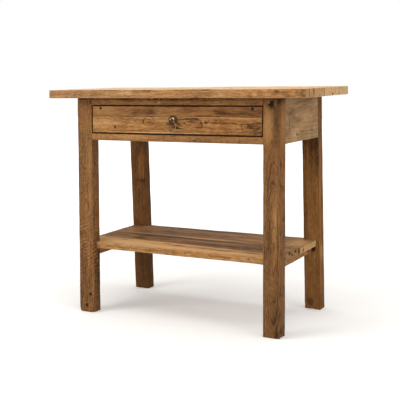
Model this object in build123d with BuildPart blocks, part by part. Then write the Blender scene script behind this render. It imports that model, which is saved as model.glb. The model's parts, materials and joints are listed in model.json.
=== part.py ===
from build123d import *
from math import cos, radians, sin, tan
import os

# Rustic potting bench: a plank top on four legs that lean outwards to the front and the back, a drawer
# between two front rails, and a low shelf of three boards notched round the legs.
# Frame: X along the bench, -Y to the front, +Z up. The origin is on the floor, under the middle.
# Lengths are in millimetres and angles in degrees.

# ---- Overall ----
total_height = 820.0
top_length = 1002.0
top_thickness = 30.0
front_plank_width = 78.0
second_plank_width = 102.0
third_plank_width = 137.0
back_plank_width = 105.0
end_overhang = 99.5  # top beyond the legs' outer sides
front_overhang = 39.5  # top beyond the front legs, level with the legs' tops
back_overhang = 0.0

# ---- Legs ----
leg_width = 62.5  # along X
leg_depth = 43.0  # along Y
leg_rake = 1.57  # lean of the front legs to the front, and of the back legs to the back
leg_arris = 2.5
foot_wear = 5.0

# ---- Apron, rails and drawer opening ----
upper_rail_height = 26.0
opening_height = 101.5
lower_rail_height = 25.0
rail_depth = 37.0
apron_thickness = 24.0
board_arris = 1.0

# ---- Frame joints ----
joint_fit = 0.15  # clearance on each side of a tenon or tail in its socket
mouth = 1.0  # a socket's cutter runs this far out of its mouth
tenon_length = 27.0
tenon_thickness = 10.0
tenon_shoulder = 10.0  # cut off a tenon's lower edge
haunch = 26.0  # cut off a tenon's upper edge, so that the leg's top stays whole
twin_thickness = 8.0
twin_pitch = 17.0
twin_shoulder = 4.0
lap_length = 30.0
lap_thickness = 14.0
lap_neck = 20.0
lap_end = 27.0
stub_length = 8.0
stub_thickness = 10.0
stub_shoulder = 5.0

# ---- Drawer bearers ----
bearer_width = 42.0
bearer_thickness = 22.0
leg_gap = 1.0  # between the legs' inner sides and the bearers
guide_height = 20.0
guide_gap = 1.0  # between a guide and the drawer's side
stop_width = 40.0
stop_depth = 11.0
stop_height = 7.0
stop_inset = 150.0  # from a leg's inner side to the middle of a stop

# ---- Drawer ----
drawer_gap = 3.0  # round the drawer front in its opening
drawer_setback = 1.0  # lower front board behind the legs' faces
front_step = 1.0  # upper front board behind the lower one
front_thickness = 22.0
lower_board_height = 59.5
side_inset = 29.0  # from the drawer front's ends to the drawer's sides
side_thickness = 12.0
side_height = 95.0
drawer_length = 330.0  # from the drawer front's back to the end of the sides
running_gap = 0.3  # under the drawer's sides
housing_depth = 9.0
housing_neck = 7.0
housing_end = 10.5
drawer_back_thickness = 12.0
bottom_thickness = 6.0
bottom_rise = 10.0  # underside of the bottom above the sides' lower edges
groove_depth = 6.0
tail_count = 3
tail_pitch = 26.0
tail_neck = 12.0
tail_end = 17.0

# ---- Ring pull ----
pull_height = 47.5  # centre of the rosette above the lower front board's lower edge
rosette_radius = 16.5
rosette_rim = 1.6
rim_width = 3.0
dome_height = 6.5
dome_flat = 3.0
dome_radius = 10.5  # of the arc from the rim to the flat middle
eye_wire = 1.1
eye_radius = 3.4
shank_radius = 1.9
clench_length = 11.0
clench_width = 3.4
clench_thickness = 1.4
ring_radius = 20.5
ring_wire = 1.3
ring_lean = 8.0  # sideways lean of the hanging ring

# ---- Shelf ----
shelf_height = 262.0
shelf_thickness = 24.0
shelf_front_inset = 16.0  # shelf's front edge behind the front legs' outer faces
shelf_back_inset = 20.0
shelf_left_inset = 2.0  # shelf's ends inside the legs' outer sides
shelf_right_inset = 13.0
middle_board_short = 7.0  # middle board stops short of the right end
front_board_left = 114.0  # width of the front board at its left end, from where it tapers
front_board_right = 68.0
middle_board_left = 100.0
middle_board_right = 126.0
board_gap = 0.6
notch_gap = 1.0
shelf_rail_height = 26.0
shelf_rail_thickness = 28.0
shelf_tenon_shoulder = 4.0
chip_length = 15.0  # broken upper corner at the back of the right shelf rail
chip_height = 12.0
chip_depth = 16.0

# ---- Fasteners ----
fastener_fit = 0.05
screw_radius = 2.0
screw_head_radius = 4.0
screw_bite = 16.0  # into the top boards
rail_screw_inset = 60.0  # from a leg's inner side to the screw in the upper rail
nail_width = 2.6
nail_head_width = 5.6
nail_head_height = 1.2
nail_inset = 13.0  # from a shelf board's edges
shelf_nail_bite = 18.0
front_nail_drop = 7.5  # under the upper front board's top edge
front_nail_bite = 20.0
guide_nail_count = 3
guide_nail_pitch = 110.0
guide_nail_bite = 12.0
stop_nail_pitch = 20.0
stop_nail_bite = 10.0
bottom_nail_count = 4
bottom_nail_pitch = 160.0
bottom_nail_bite = 12.0

# ---- Levels and lines that follow ----
top_width = front_plank_width + second_plank_width + third_plank_width + back_plank_width
frame_height = total_height - top_thickness
frame_half = top_length / 2 - end_overhang
inner_half = frame_half - leg_width
slope = tan(radians(leg_rake))
rake_run = slope * frame_height

# The origin lies midway between the foremost and the rearmost points of the bench.
foremost = min(0.0, front_overhang - rake_run)
rearmost = max(top_width, top_width - back_overhang + rake_run)
top_front = -(foremost + rearmost) / 2
top_back = top_front + top_width
front_at_top = top_front + front_overhang
back_at_top = top_back - back_overhang

opening_top = frame_height - upper_rail_height
opening_bottom = opening_top - opening_height
apron_bottom = opening_bottom - lower_rail_height
tenon_low = apron_bottom + tenon_shoulder
tenon_high = frame_height - haunch
apron_middle = frame_half - apron_thickness / 2
shelf_bottom = shelf_height - shelf_thickness
shelf_rail_bottom = shelf_bottom - shelf_rail_height
shelf_rail_middle = inner_half + shelf_rail_thickness / 2

bearer_inner = inner_half - leg_gap - bearer_width
bearer_middle = bearer_inner + bearer_width / 2
front_half = inner_half - drawer_gap
side_outer = front_half - side_inset
side_inner = side_outer - side_thickness
side_middle = side_outer - side_thickness / 2
front_low = opening_bottom + drawer_gap
front_high = opening_top - drawer_gap
seam_level = front_low + lower_board_height
front_back = drawer_setback + front_thickness
side_low = opening_bottom + running_gap
side_high = side_low + side_height
panel_low = side_low + bottom_rise
panel_high = panel_low + bottom_thickness
tail_middle = (panel_high + side_high) / 2

LEFT, RIGHT = -1, 1
SIDE_NAMES = {LEFT: "left", RIGHT: "right"}


def front_line(inset):
    """Line parallel to the front legs' outer faces, as y at a height, moved back by inset."""
    return lambda z: front_at_top - slope * (frame_height - z) + inset


def back_line(inset):
    """Line parallel to the back legs' outer faces, as y at a height, moved forward by inset."""
    return lambda z: back_at_top + slope * (frame_height - z) - inset


def upright(y):
    """Vertical line, as y at a height."""
    return lambda z: y


def band(near, far, low, high):
    """Corners (y, z) of the strip between two lines, from one height to another."""
    return [(near(low), low), (far(low), low), (far(high), high), (near(high), high)]


def low_x(side, inner, width):
    """Lower x of a piece that starts at a distance from the middle and is width wide."""
    return inner if side == RIGHT else -inner - width


side_end = front_line(front_back)(side_low) + drawer_length
lower_rail_middle = opening_bottom - lower_rail_height / 2
bearer_levels = {
    "runner": opening_bottom - bearer_thickness / 2,
    "kicker": frame_height - bearer_thickness / 2,
}
DOWN = (0, 0, -1)
UP = (0, 0, 1)
# Outward direction of the leaning front, and upward direction along it
OUT = (0, -cos(radians(leg_rake)), sin(radians(leg_rake)))
ALONG = (0, sin(radians(leg_rake)), cos(radians(leg_rake)))


def places(points, direction):
    """Planes at points with their normals along one direction; holes are cut against it."""
    return [Plane(origin=point, x_dir=(1, 0, 0), z_dir=direction) for point in points]


# ---- Sockets that several pieces share ----


def end_mortise(line, x_middle, low, high):
    """Cut the mortise of a board's tenon into the inner face of the leg whose outer face is on a line."""
    width = tenon_thickness + 2 * joint_fit
    with BuildSketch(Plane.YZ.offset(x_middle - width / 2)) as outline:
        floor = line(leg_depth - tenon_length - joint_fit)
        Polygon(*band(floor, line(leg_depth + mouth), low - joint_fit, high + joint_fit))
    extrude(outline.sketch, amount=width, mode=Mode.SUBTRACT)


def stub_mortises(line, face_inset, level):
    """Cut the stub mortises of a left and a right bearer into the face at an inset from a line."""
    for side in (LEFT, RIGHT):
        width = bearer_width - 2 * stub_shoulder + 2 * joint_fit
        start = low_x(side, bearer_inner, bearer_width) + stub_shoulder - joint_fit
        half = stub_thickness / 2 + joint_fit
        with BuildSketch(Plane.YZ.offset(start)) as outline:
            floor = line(face_inset - stub_length - joint_fit)
            Polygon(*band(floor, line(face_inset + mouth), level - half, level + half))
        extrude(outline.sketch, amount=width, mode=Mode.SUBTRACT)


def lap_outline(side, grow):
    """Corners (x, y) of the upper rail's dovetail, as it is laid into the top of a front leg."""
    middle = front_line(rail_depth / 2)(frame_height)
    neck = lap_neck / 2 + grow
    end = lap_end / 2 + grow
    shoulder = side * inner_half
    tip = side * (inner_half + lap_length + grow)
    return [(shoulder, middle - neck), (tip, middle - end), (tip, middle + end), (shoulder, middle + neck)]


def twin_tenons(side, grow, mode):
    """Pair of tenons at one end of the lower rail, or with grow above 0 the pair of mortises."""
    middle = front_line(rail_depth / 2)(lower_rail_middle)
    height = lower_rail_height - 2 * twin_shoulder
    with BuildSketch(Plane.YZ.offset(side * inner_half)) as outline:
        with Locations((middle, lower_rail_middle)):
            with GridLocations(twin_pitch, 0, 2, 1):
                Rectangle(twin_thickness + 2 * grow, height + 2 * grow)
    extrude(outline.sketch, amount=side * (tenon_length + grow), mode=mode)


def apron_tenon_lines():
    """Lines between which the back apron's tenons lie."""
    middle = apron_thickness / 2
    return back_line(middle - tenon_thickness / 2), back_line(middle + tenon_thickness / 2)


# ---- Fasteners ----


def nail_group(points, direction, length):
    """Square cut nails, flush at points whose direction is the way that the heads face."""
    inward = (Align.CENTER, Align.CENTER, Align.MAX)
    with BuildPart() as nails:
        with Locations(*places(points, direction)):
            Box(nail_width, nail_width, length, align=inward)
            Box(nail_head_width, nail_head_width, nail_head_height, align=inward)
    return nails


def nail_sockets(points, direction, depth, with_heads=False):
    """Cut the square sockets of nails from points inward, with recesses for their heads if asked."""
    inward = (Align.CENTER, Align.CENTER, Align.MAX)
    shank = nail_width + 2 * fastener_fit
    head = nail_head_width + 2 * fastener_fit
    with Locations(*places(points, direction)):
        Box(shank, shank, depth, align=inward, mode=Mode.SUBTRACT)
        if with_heads:
            Box(head, head, nail_head_height, align=inward, mode=Mode.SUBTRACT)


def screw_holes(points, depth):
    """Cut countersunk holes upward through the piece over the screws' heads."""
    with Locations(*places(points, DOWN)):
        CounterSinkHole(
            radius=screw_radius + fastener_fit,
            counter_sink_radius=screw_head_radius + fastener_fit,
            depth=depth,
            counter_sink_angle=90,
        )


# ---- Top: four boards, screwed on from below ----
plank_edges = {
    "front": (top_front, front_plank_width),
    "second": (top_front + front_plank_width, second_plank_width),
    "third": (top_front + front_plank_width + second_plank_width, third_plank_width),
    "back": (top_back - back_plank_width, back_plank_width),
}
rail_screws = [
    (side * (inner_half - rail_screw_inset), front_line(rail_depth / 2)(frame_height)) for side in SIDE_NAMES
]
screw_spots = {
    plank: [(side * bearer_middle, edge + width / 2) for side in SIDE_NAMES]
    for plank, (edge, width) in plank_edges.items()
    if plank != "front"
}


def build_top_plank(edge, width, spots):
    """Top board with chamfered rims and pilot holes for its screws."""
    with BuildPart() as plank:
        with BuildSketch(Plane.XY.offset(frame_height)):
            with Locations((0, edge + width / 2)):
                Rectangle(top_length, width)
        extrude(amount=top_thickness)
        rims = plank.edges().group_by(Axis.Z)
        chamfer(rims[0] + rims[-1], board_arris)
        with Locations(*places([(x, y, frame_height) for x, y in spots], DOWN)):
            Hole(radius=screw_radius + fastener_fit, depth=screw_bite)
    return plank


def build_screws():
    """Countersunk screws up into the top boards, through the upper rail and the kickers."""
    head_height = screw_head_radius - screw_radius
    groups = [(rail_screws, opening_top)]
    groups += [(spots, frame_height - bearer_thickness) for spots in screw_spots.values()]
    with BuildPart() as screws:
        for spots, start in groups:
            with Locations(*[(x, y, start) for x, y in spots]):
                Cylinder(
                    screw_radius,
                    frame_height - start + screw_bite,
                    align=(Align.CENTER, Align.CENTER, Align.MIN),
                )
                Cone(
                    screw_head_radius,
                    screw_radius,
                    head_height,
                    align=(Align.CENTER, Align.CENTER, Align.MIN),
                )
    return screws


# ---- Legs ----


def build_leg(line, side, front):
    """Leaning leg with its outer face on a line, and its mortises."""
    with BuildPart() as leg:
        with BuildSketch(Plane.YZ.offset(low_x(side, inner_half, leg_width))):
            Polygon(*band(line(0), line(leg_depth), 0, frame_height))
        extrude(amount=leg_width)
        chamfer(leg.faces().sort_by(Axis.Z)[0].edges(), foot_wear)
        fillet(leg.edges().group_by(SortBy.LENGTH)[-1], leg_arris)
        end_mortise(line, side * apron_middle, tenon_low, tenon_high)
        shelf_low = shelf_rail_bottom + shelf_tenon_shoulder
        end_mortise(line, side * shelf_rail_middle, shelf_low, shelf_bottom - shelf_tenon_shoulder)
        if front:
            twin_tenons(side, joint_fit, Mode.SUBTRACT)
            with BuildSketch(Plane.XY.offset(frame_height - lap_thickness - joint_fit)):
                Polygon(*lap_outline(side, joint_fit))
            extrude(amount=lap_thickness + joint_fit + mouth, mode=Mode.SUBTRACT)
        else:
            outer, inner = apron_tenon_lines()
            low, high = tenon_low - joint_fit, tenon_high + joint_fit
            with BuildSketch(Plane.YZ.offset(side * inner_half)):
                Polygon(
                    (outer(low) + joint_fit, low),
                    (inner(low) - joint_fit, low),
                    (inner(high) - joint_fit, high),
                    (outer(high) + joint_fit, high),
                )
            extrude(amount=side * (tenon_length + joint_fit), mode=Mode.SUBTRACT)
    return leg


# ---- Rails and aprons ----


def build_upper_rail():
    """Rail over the drawer, with a half-thickness dovetail at each end, laid in from above."""
    with BuildPart() as rail:
        with BuildSketch(Plane.YZ.offset(-inner_half)):
            Polygon(*band(front_line(0), front_line(rail_depth), opening_top, frame_height))
        extrude(amount=2 * inner_half)
        for side in SIDE_NAMES:
            with BuildSketch(Plane.XY.offset(frame_height - lap_thickness)):
                Polygon(*lap_outline(side, 0))
            extrude(amount=lap_thickness)
        stub_mortises(front_line, rail_depth, bearer_levels["kicker"])
        screw_holes([(x, y, opening_top) for x, y in rail_screws], upper_rail_height)
    return rail


def build_lower_rail(nail_points):
    """Rail under the drawer, with twin tenons at each end."""
    with BuildPart() as rail:
        with BuildSketch(Plane.YZ.offset(-inner_half)):
            Polygon(*band(front_line(0), front_line(rail_depth), apron_bottom, opening_bottom))
        extrude(amount=2 * inner_half)
        for side in SIDE_NAMES:
            twin_tenons(side, 0, Mode.ADD)
        stub_mortises(front_line, rail_depth, bearer_levels["runner"])
        nail_sockets([(x, y, opening_bottom) for x, y in nail_points], UP, stop_nail_bite)
    return rail


def build_side_apron(side):
    """Side board with leaning shoulders and a tenon at each end."""
    with BuildPart() as apron:
        with BuildSketch(Plane.YZ.offset(low_x(side, frame_half - apron_thickness, apron_thickness))):
            Polygon(*band(front_line(leg_depth), back_line(leg_depth), apron_bottom, frame_height))
        extrude(amount=apron_thickness)
        with BuildSketch(Plane.YZ.offset(side * apron_middle - tenon_thickness / 2)):
            inset = leg_depth - tenon_length
            Polygon(*band(front_line(inset), back_line(inset), tenon_low, tenon_high))
        extrude(amount=tenon_thickness)
    return apron


def build_back_apron():
    """Leaning board between the back legs, with a tenon at each end."""
    with BuildPart() as apron:
        with BuildSketch(Plane.YZ.offset(-inner_half)):
            Polygon(*band(back_line(0), back_line(apron_thickness), apron_bottom, frame_height))
        extrude(amount=2 * inner_half)
        with BuildSketch(Plane.YZ.offset(-inner_half - tenon_length)):
            Polygon(*band(*apron_tenon_lines(), tenon_low, tenon_high))
        extrude(amount=2 * (inner_half + tenon_length))
        for level in bearer_levels.values():
            stub_mortises(back_line, apron_thickness, level)
    return apron


# ---- Drawer bearers ----


def build_bearer(side, level):
    """Runner or kicker from the front rail to the back apron, with a stub tenon at each end."""
    with BuildPart() as bearer:
        with BuildSketch(Plane.YZ.offset(low_x(side, bearer_inner, bearer_width))):
            low, high = level - bearer_thickness / 2, level + bearer_thickness / 2
            Polygon(*band(front_line(rail_depth), back_line(apron_thickness), low, high))
        extrude(amount=bearer_width)
        with BuildSketch(Plane.YZ.offset(low_x(side, bearer_inner, bearer_width) + stub_shoulder)):
            low, high = level - stub_thickness / 2, level + stub_thickness / 2
            near, far = front_line(rail_depth - stub_length), back_line(apron_thickness - stub_length)
            Polygon(*band(near, far, low, high))
        extrude(amount=bearer_width - 2 * stub_shoulder)
        if level > opening_top:
            spots = [(x, y) for pair in screw_spots.values() for x, y in pair if x * side > 0]
            underside = frame_height - bearer_thickness
            screw_holes([(x, y, underside) for x, y in spots], bearer_thickness)
        else:
            points = [(x, y, opening_bottom) for x, y in guide_nail_spots(side)]
            nail_sockets(points, UP, guide_nail_bite)
    return bearer


guide_inner = side_outer + guide_gap
guide_width = bearer_inner + bearer_width - guide_inner


def guide_nail_spots(side):
    """Places (x, y) of the nails that hold a guide to its runner."""
    rear = back_line(apron_thickness)(opening_bottom)
    front = front_line(rail_depth)(opening_bottom)
    first = (front + rear) / 2 - guide_nail_pitch * (guide_nail_count - 1) / 2
    x = side * (guide_inner + guide_width / 2)
    return [(x, first + guide_nail_pitch * index) for index in range(guide_nail_count)]


def build_guide(side):
    """Strip on a runner that keeps the drawer's side in line."""
    top = opening_bottom + guide_height
    with BuildPart() as guide:
        with BuildSketch(Plane.YZ.offset(low_x(side, guide_inner, guide_width))):
            Polygon(*band(front_line(rail_depth), back_line(apron_thickness), opening_bottom, top))
        extrude(amount=guide_width)
        nail_sockets([(x, y, top) for x, y in guide_nail_spots(side)], UP, guide_height, True)
    return guide


def stop_nail_spots(side):
    """Places (x, y) of the nails that hold a stop to the lower rail."""
    y = front_line(front_back + stop_depth / 2)(opening_bottom)
    middle = side * (inner_half - stop_inset)
    return [(middle + offset, y) for offset in (-stop_nail_pitch / 2, stop_nail_pitch / 2)]


def build_stop(side):
    """Block on the lower rail that the shut drawer front rests against."""
    top = opening_bottom + stop_height
    with BuildPart() as stop:
        with BuildSketch(Plane.YZ.offset(side * (inner_half - stop_inset) - stop_width / 2)):
            near, far = front_line(front_back), front_line(front_back + stop_depth)
            Polygon(*band(near, far, opening_bottom, top))
        extrude(amount=stop_width)
        nail_sockets([(x, y, top) for x, y in stop_nail_spots(side)], UP, stop_height, True)
    return stop


# ---- Drawer ----


def housing_outline(side, level, grow):
    """Corners (x, y) of a side's dovetailed tongue in the drawer front, at a height."""
    back = front_line(front_back)(level)
    middle = side * side_middle
    neck = housing_neck / 2 + grow
    end = housing_end / 2 + grow
    tip = back - housing_depth - grow
    return [(middle - neck, back), (middle + neck, back), (middle + end, tip), (middle - end, tip)]


def housing(side, low, high, grow, mode):
    """Dovetailed tongue from one height to another along the leaning front, or its housing."""
    with BuildSketch(Plane.XY.offset(low)) as outline:
        Polygon(*housing_outline(side, low, grow))
    extrude(outline.sketch, amount=(high - low) / cos(radians(leg_rake)), dir=ALONG, mode=mode)


front_nail_level = front_high - front_nail_drop
front_nail_length = front_thickness - front_step + front_nail_bite
front_nail_points = [
    (side * side_middle, front_line(drawer_setback + front_step)(front_nail_level), front_nail_level)
    for side in SIDE_NAMES
]
pull_level = front_low + pull_height
pull_face = (0, front_line(drawer_setback)(pull_level), pull_level)


def build_front_board(low, high, inset):
    """Board of the drawer front, with the housings of both sides cut in its back."""
    with BuildPart() as board:
        with BuildSketch(Plane.YZ.offset(-front_half)):
            Polygon(*band(front_line(inset), front_line(front_back), low, high))
        extrude(amount=2 * front_half)
        rims = board.faces().sort_by(Axis.Y)[0].edges()
        chamfer(rims, board_arris)
        for side in SIDE_NAMES:
            housing(side, low, min(high, side_high + joint_fit), joint_fit, Mode.SUBTRACT)
        if low < panel_low:
            groove_half = side_inner + groove_depth + joint_fit
            with BuildSketch(Plane.YZ.offset(-groove_half)):
                near = front_line(front_back - groove_depth - joint_fit)
                far = front_line(front_back + mouth)
                Polygon(*band(near, far, panel_low - joint_fit, panel_high + joint_fit))
            extrude(amount=2 * groove_half, mode=Mode.SUBTRACT)
            with Locations(*places([pull_face], OUT)):
                Hole(radius=shank_radius + fastener_fit, depth=front_thickness)
        else:
            nail_sockets(front_nail_points, OUT, front_thickness, True)
    return board


def tail_outline(grow):
    """Corners of a tail about its middle, from its neck to its end, shrunk by grow."""
    neck = tail_neck / 2 - grow
    end = tail_end / 2 - grow
    return [(-drawer_back_thickness, -neck), (0, -end), (0, end), (-drawer_back_thickness, neck)]


tail_spots = [
    (side_end, tail_middle + tail_pitch * (index - (tail_count - 1) / 2)) for index in range(tail_count)
]


def build_drawer_side(side):
    """Drawer side: dovetailed tongue in front, groove for the bottom, through tails at the back."""
    start = low_x(side, side_inner, side_thickness)
    with BuildPart() as board:
        with BuildSketch(Plane.YZ.offset(start)):
            Polygon(*band(front_line(front_back), upright(side_end), side_low, side_high))
        extrude(amount=side_thickness)
        housing(side, front_low, side_high, 0, Mode.ADD)
        # Waste between the tails
        with BuildSketch(Plane.YZ.offset(start)):
            near, far = upright(side_end - drawer_back_thickness), upright(side_end + mouth)
            Polygon(*band(near, far, panel_high, side_high + mouth))
            with Locations(*tail_spots):
                Polygon(*tail_outline(joint_fit), mode=Mode.SUBTRACT)
        extrude(amount=side_thickness, mode=Mode.SUBTRACT)
        # Groove for the bottom, in the inner face
        depth = groove_depth + joint_fit
        with BuildSketch(Plane.YZ.offset(low_x(side, side_inner, depth))):
            near = front_line(front_back - housing_depth - mouth)
            Polygon(*band(near, upright(side_end + mouth), panel_low - joint_fit, panel_high + joint_fit))
        extrude(amount=depth, mode=Mode.SUBTRACT)
        own_nails = [point for point in front_nail_points if point[0] * side > 0]
        nail_sockets(own_nails, OUT, front_nail_length)
    return board


def build_drawer_back(nail_points):
    """Drawer back over the bottom, with the sockets of the sides' tails cut at both ends."""
    with BuildPart() as board:
        with BuildSketch(Plane.YZ.offset(-side_outer)):
            near, far = upright(side_end - drawer_back_thickness), upright(side_end)
            Polygon(*band(near, far, panel_high, side_high))
        extrude(amount=2 * side_outer)
        for side in SIDE_NAMES:
            with BuildSketch(Plane.YZ.offset(low_x(side, side_inner, side_thickness))):
                with Locations(*tail_spots):
                    Polygon(*tail_outline(0))
            extrude(amount=side_thickness, mode=Mode.SUBTRACT)
        nail_sockets([(x, y, panel_high) for x, y, _ in nail_points], DOWN, bottom_nail_bite)
    return board


bottom_nail_first = -bottom_nail_pitch * (bottom_nail_count - 1) / 2
bottom_nail_points = [
    (bottom_nail_first + bottom_nail_pitch * index, side_end - drawer_back_thickness / 2, panel_low)
    for index in range(bottom_nail_count)
]


def build_drawer_bottom(nail_points):
    """Thin board in the grooves of the drawer's front and sides, nailed up into its back."""
    half = side_inner + groove_depth
    with BuildPart() as panel:
        with BuildSketch(Plane.YZ.offset(-half)):
            Polygon(*band(front_line(front_back - groove_depth), upright(side_end), panel_low, panel_high))
        extrude(amount=2 * half)
        nail_sockets(nail_points, DOWN, bottom_thickness, True)
    return panel


# ---- Ring pull ----
pull_plane = Plane(origin=pull_face, x_dir=(1, 0, 0), z_dir=OUT)
eye_reach = dome_height + eye_radius + eye_wire
eye_centre = pull_plane.from_local_coords((0, 0, eye_reach))


def build_rosette():
    """Round plate with a rim and a dome, bored for the shank of the eye."""
    groove_radius = rosette_radius - rim_width
    bore = shank_radius + fastener_fit
    section = Plane(origin=pull_face, x_dir=(1, 0, 0), z_dir=(pull_plane.x_dir.cross(Vector(*OUT))))
    with BuildPart() as rosette:
        with BuildSketch(section):
            with BuildLine():
                Line((bore, 0), (rosette_radius, 0))
                ThreePointArc(
                    (rosette_radius, 0),
                    (rosette_radius - rim_width / 2, rosette_rim),
                    (groove_radius, rosette_rim / 2),
                )
                RadiusArc((groove_radius, rosette_rim / 2), (dome_flat, dome_height), dome_radius)
                Line((dome_flat, dome_height), (bore, dome_height))
                Line((bore, dome_height), (bore, 0))
            make_face()
        revolve(axis=Axis(pull_face, OUT))
    return rosette


def build_eye():
    """Loop on a shank that passes through the rosette and the drawer front and is clenched behind."""
    behind = -front_thickness * cos(radians(leg_rake))
    with BuildPart() as eye:
        with BuildSketch(pull_plane.offset(behind)):
            Circle(shank_radius)
        extrude(amount=dome_height + eye_wire - behind)
        with BuildSketch(pull_plane.offset(behind - clench_thickness)):
            SlotOverall(2 * clench_length, clench_width)
        extrude(amount=clench_thickness)
        with Locations(Plane(origin=eye_centre, z_dir=(1, 0, 0))):
            Torus(major_radius=eye_radius, minor_radius=eye_wire)
    return eye


def build_ring():
    """Plain wire ring that hangs in the eye."""
    lean = radians(ring_lean)
    centre = eye_centre + Vector(-ring_radius * sin(lean), 0, -ring_radius * cos(lean))
    with BuildPart() as ring:
        with Locations(Plane(origin=centre, z_dir=(0, 1, 0))):
            Torus(major_radius=ring_radius, minor_radius=ring_wire)
    return ring


# ---- Shelf ----
shelf_left = -frame_half + shelf_left_inset
shelf_right = frame_half - shelf_right_inset
shelf_front = front_line(shelf_front_inset)(shelf_height)
shelf_back = back_line(shelf_back_inset)(shelf_height)


def seam(left_y, right_y):
    """Straight line along the shelf, as y at an x, from its left end to its right end."""
    return lambda x: left_y + (right_y - left_y) * (x - shelf_left) / (shelf_right - shelf_left)


front_seam = (shelf_front + front_board_left, shelf_front + front_board_right)
middle_seam = (front_seam[0] + middle_board_left, front_seam[1] + middle_board_right)
# Front line, back line and right end of each board
shelf_boards = {
    "front": (seam(shelf_front, shelf_front), seam(*front_seam), shelf_right),
    "middle": (
        seam(front_seam[0] + board_gap, front_seam[1] + board_gap),
        seam(*middle_seam),
        shelf_right - middle_board_short,
    ),
    "back": (
        seam(middle_seam[0] + board_gap, middle_seam[1] + board_gap),
        seam(shelf_back, shelf_back),
        shelf_right,
    ),
}


def shelf_nail_spots(near, far):
    """Places (x, y) of a shelf board's nails, two at each end, over the shelf rails."""
    rail_front = front_line(leg_depth + notch_gap)(shelf_height)
    rail_back = back_line(leg_depth + notch_gap)(shelf_height)
    spots = []
    for side in SIDE_NAMES:
        x = side * shelf_rail_middle
        first = max(near(x), rail_front) + nail_inset
        last = min(far(x), rail_back) - nail_inset
        spots += [(x, first), (x, last)]
    return spots


def build_shelf_board(near, far, right_end):
    """Shelf board with tapering edges, notched where it meets the legs."""
    with BuildPart() as board:
        with BuildSketch(Plane.XY.offset(shelf_bottom)):
            Polygon(
                (shelf_left, near(shelf_left)),
                (right_end, near(right_end)),
                (right_end, far(right_end)),
                (shelf_left, far(shelf_left)),
            )
            notch_front = front_line(leg_depth + notch_gap)(shelf_height)
            notch_back = back_line(leg_depth + notch_gap)(shelf_height)
            inner = inner_half - notch_gap
            outer = frame_half + mouth
            for side in SIDE_NAMES:
                for near_y, far_y in ((shelf_front - mouth, notch_front), (notch_back, shelf_back + mouth)):
                    with Locations((side * (inner + outer) / 2, (near_y + far_y) / 2)):
                        Rectangle(outer - inner, far_y - near_y, mode=Mode.SUBTRACT)
        extrude(amount=shelf_thickness)
        chamfer(board.faces().sort_by(Axis.Z)[-1].edges(), board_arris)
        spots = shelf_nail_spots(near, far)
        nail_sockets([(x, y, shelf_height) for x, y in spots], UP, shelf_thickness, True)
    return board


def build_shelf_rail(side, spots):
    """Rail under one end of the shelf, tenoned into the legs; the right one has a broken corner."""
    low, high = shelf_rail_bottom, shelf_bottom
    with BuildPart() as rail:
        with BuildSketch(Plane.YZ.offset(low_x(side, inner_half, shelf_rail_thickness))):
            Polygon(*band(front_line(leg_depth), back_line(leg_depth), low, high))
        extrude(amount=shelf_rail_thickness)
        if side == RIGHT:
            with BuildSketch(Plane.YZ.offset(inner_half + shelf_rail_thickness - chip_depth)):
                rear = back_line(leg_depth)(high)
                Polygon((rear - chip_length, high), (rear + mouth, high), (rear + mouth, high - chip_height))
            extrude(amount=chip_depth, mode=Mode.SUBTRACT)
        with BuildSketch(Plane.YZ.offset(side * shelf_rail_middle - tenon_thickness / 2)):
            inset = leg_depth - tenon_length
            low, high = low + shelf_tenon_shoulder, high - shelf_tenon_shoulder
            Polygon(*band(front_line(inset), back_line(inset), low, high))
        extrude(amount=tenon_thickness)
        points = [(x, y, shelf_bottom) for x, y in spots if x * side > 0]
        nail_sockets(points, UP, shelf_nail_bite)
    return rail


# ---- Build and write every piece ----


def write(piece, name):
    """Label a finished piece and write its file."""
    piece.part.label = name
    export_step(piece.part, f"parts/{name}.step")


os.makedirs("parts", exist_ok=True)

for plank, (edge, width) in plank_edges.items():
    write(build_top_plank(edge, width, screw_spots.get(plank, rail_screws)), f"top_plank_{plank}")

all_stop_spots = stop_nail_spots(LEFT) + stop_nail_spots(RIGHT)
all_guide_spots = guide_nail_spots(LEFT) + guide_nail_spots(RIGHT)
all_shelf_spots = [spot for near, far, _ in shelf_boards.values() for spot in shelf_nail_spots(near, far)]

write(build_upper_rail(), "front_upper_rail")
write(build_lower_rail(all_stop_spots), "front_lower_rail")
write(build_back_apron(), "back_apron")

for side, side_name in SIDE_NAMES.items():
    write(build_leg(front_line, side, True), f"leg_front_{side_name}")
    write(build_leg(back_line, side, False), f"leg_back_{side_name}")
    write(build_side_apron(side), f"side_apron_{side_name}")
    for bearer_name, bearer_level in bearer_levels.items():
        write(build_bearer(side, bearer_level), f"{bearer_name}_{side_name}")
    write(build_guide(side), f"guide_{side_name}")
    write(build_stop(side), f"drawer_stop_{side_name}")
    write(build_drawer_side(side), f"drawer_side_{side_name}")
    write(build_shelf_rail(side, all_shelf_spots), f"shelf_rail_{side_name}")

write(build_front_board(front_low, seam_level, drawer_setback), "drawer_front_lower")
write(build_front_board(seam_level, front_high, drawer_setback + front_step), "drawer_front_upper")
write(build_drawer_back(bottom_nail_points), "drawer_back")
write(build_drawer_bottom(bottom_nail_points), "drawer_bottom")

write(build_rosette(), "pull_rosette")
write(build_eye(), "pull_eye")
write(build_ring(), "pull_ring")

for board_name, board_lines in shelf_boards.items():
    write(build_shelf_board(*board_lines), f"shelf_plank_{board_name}")

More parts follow.
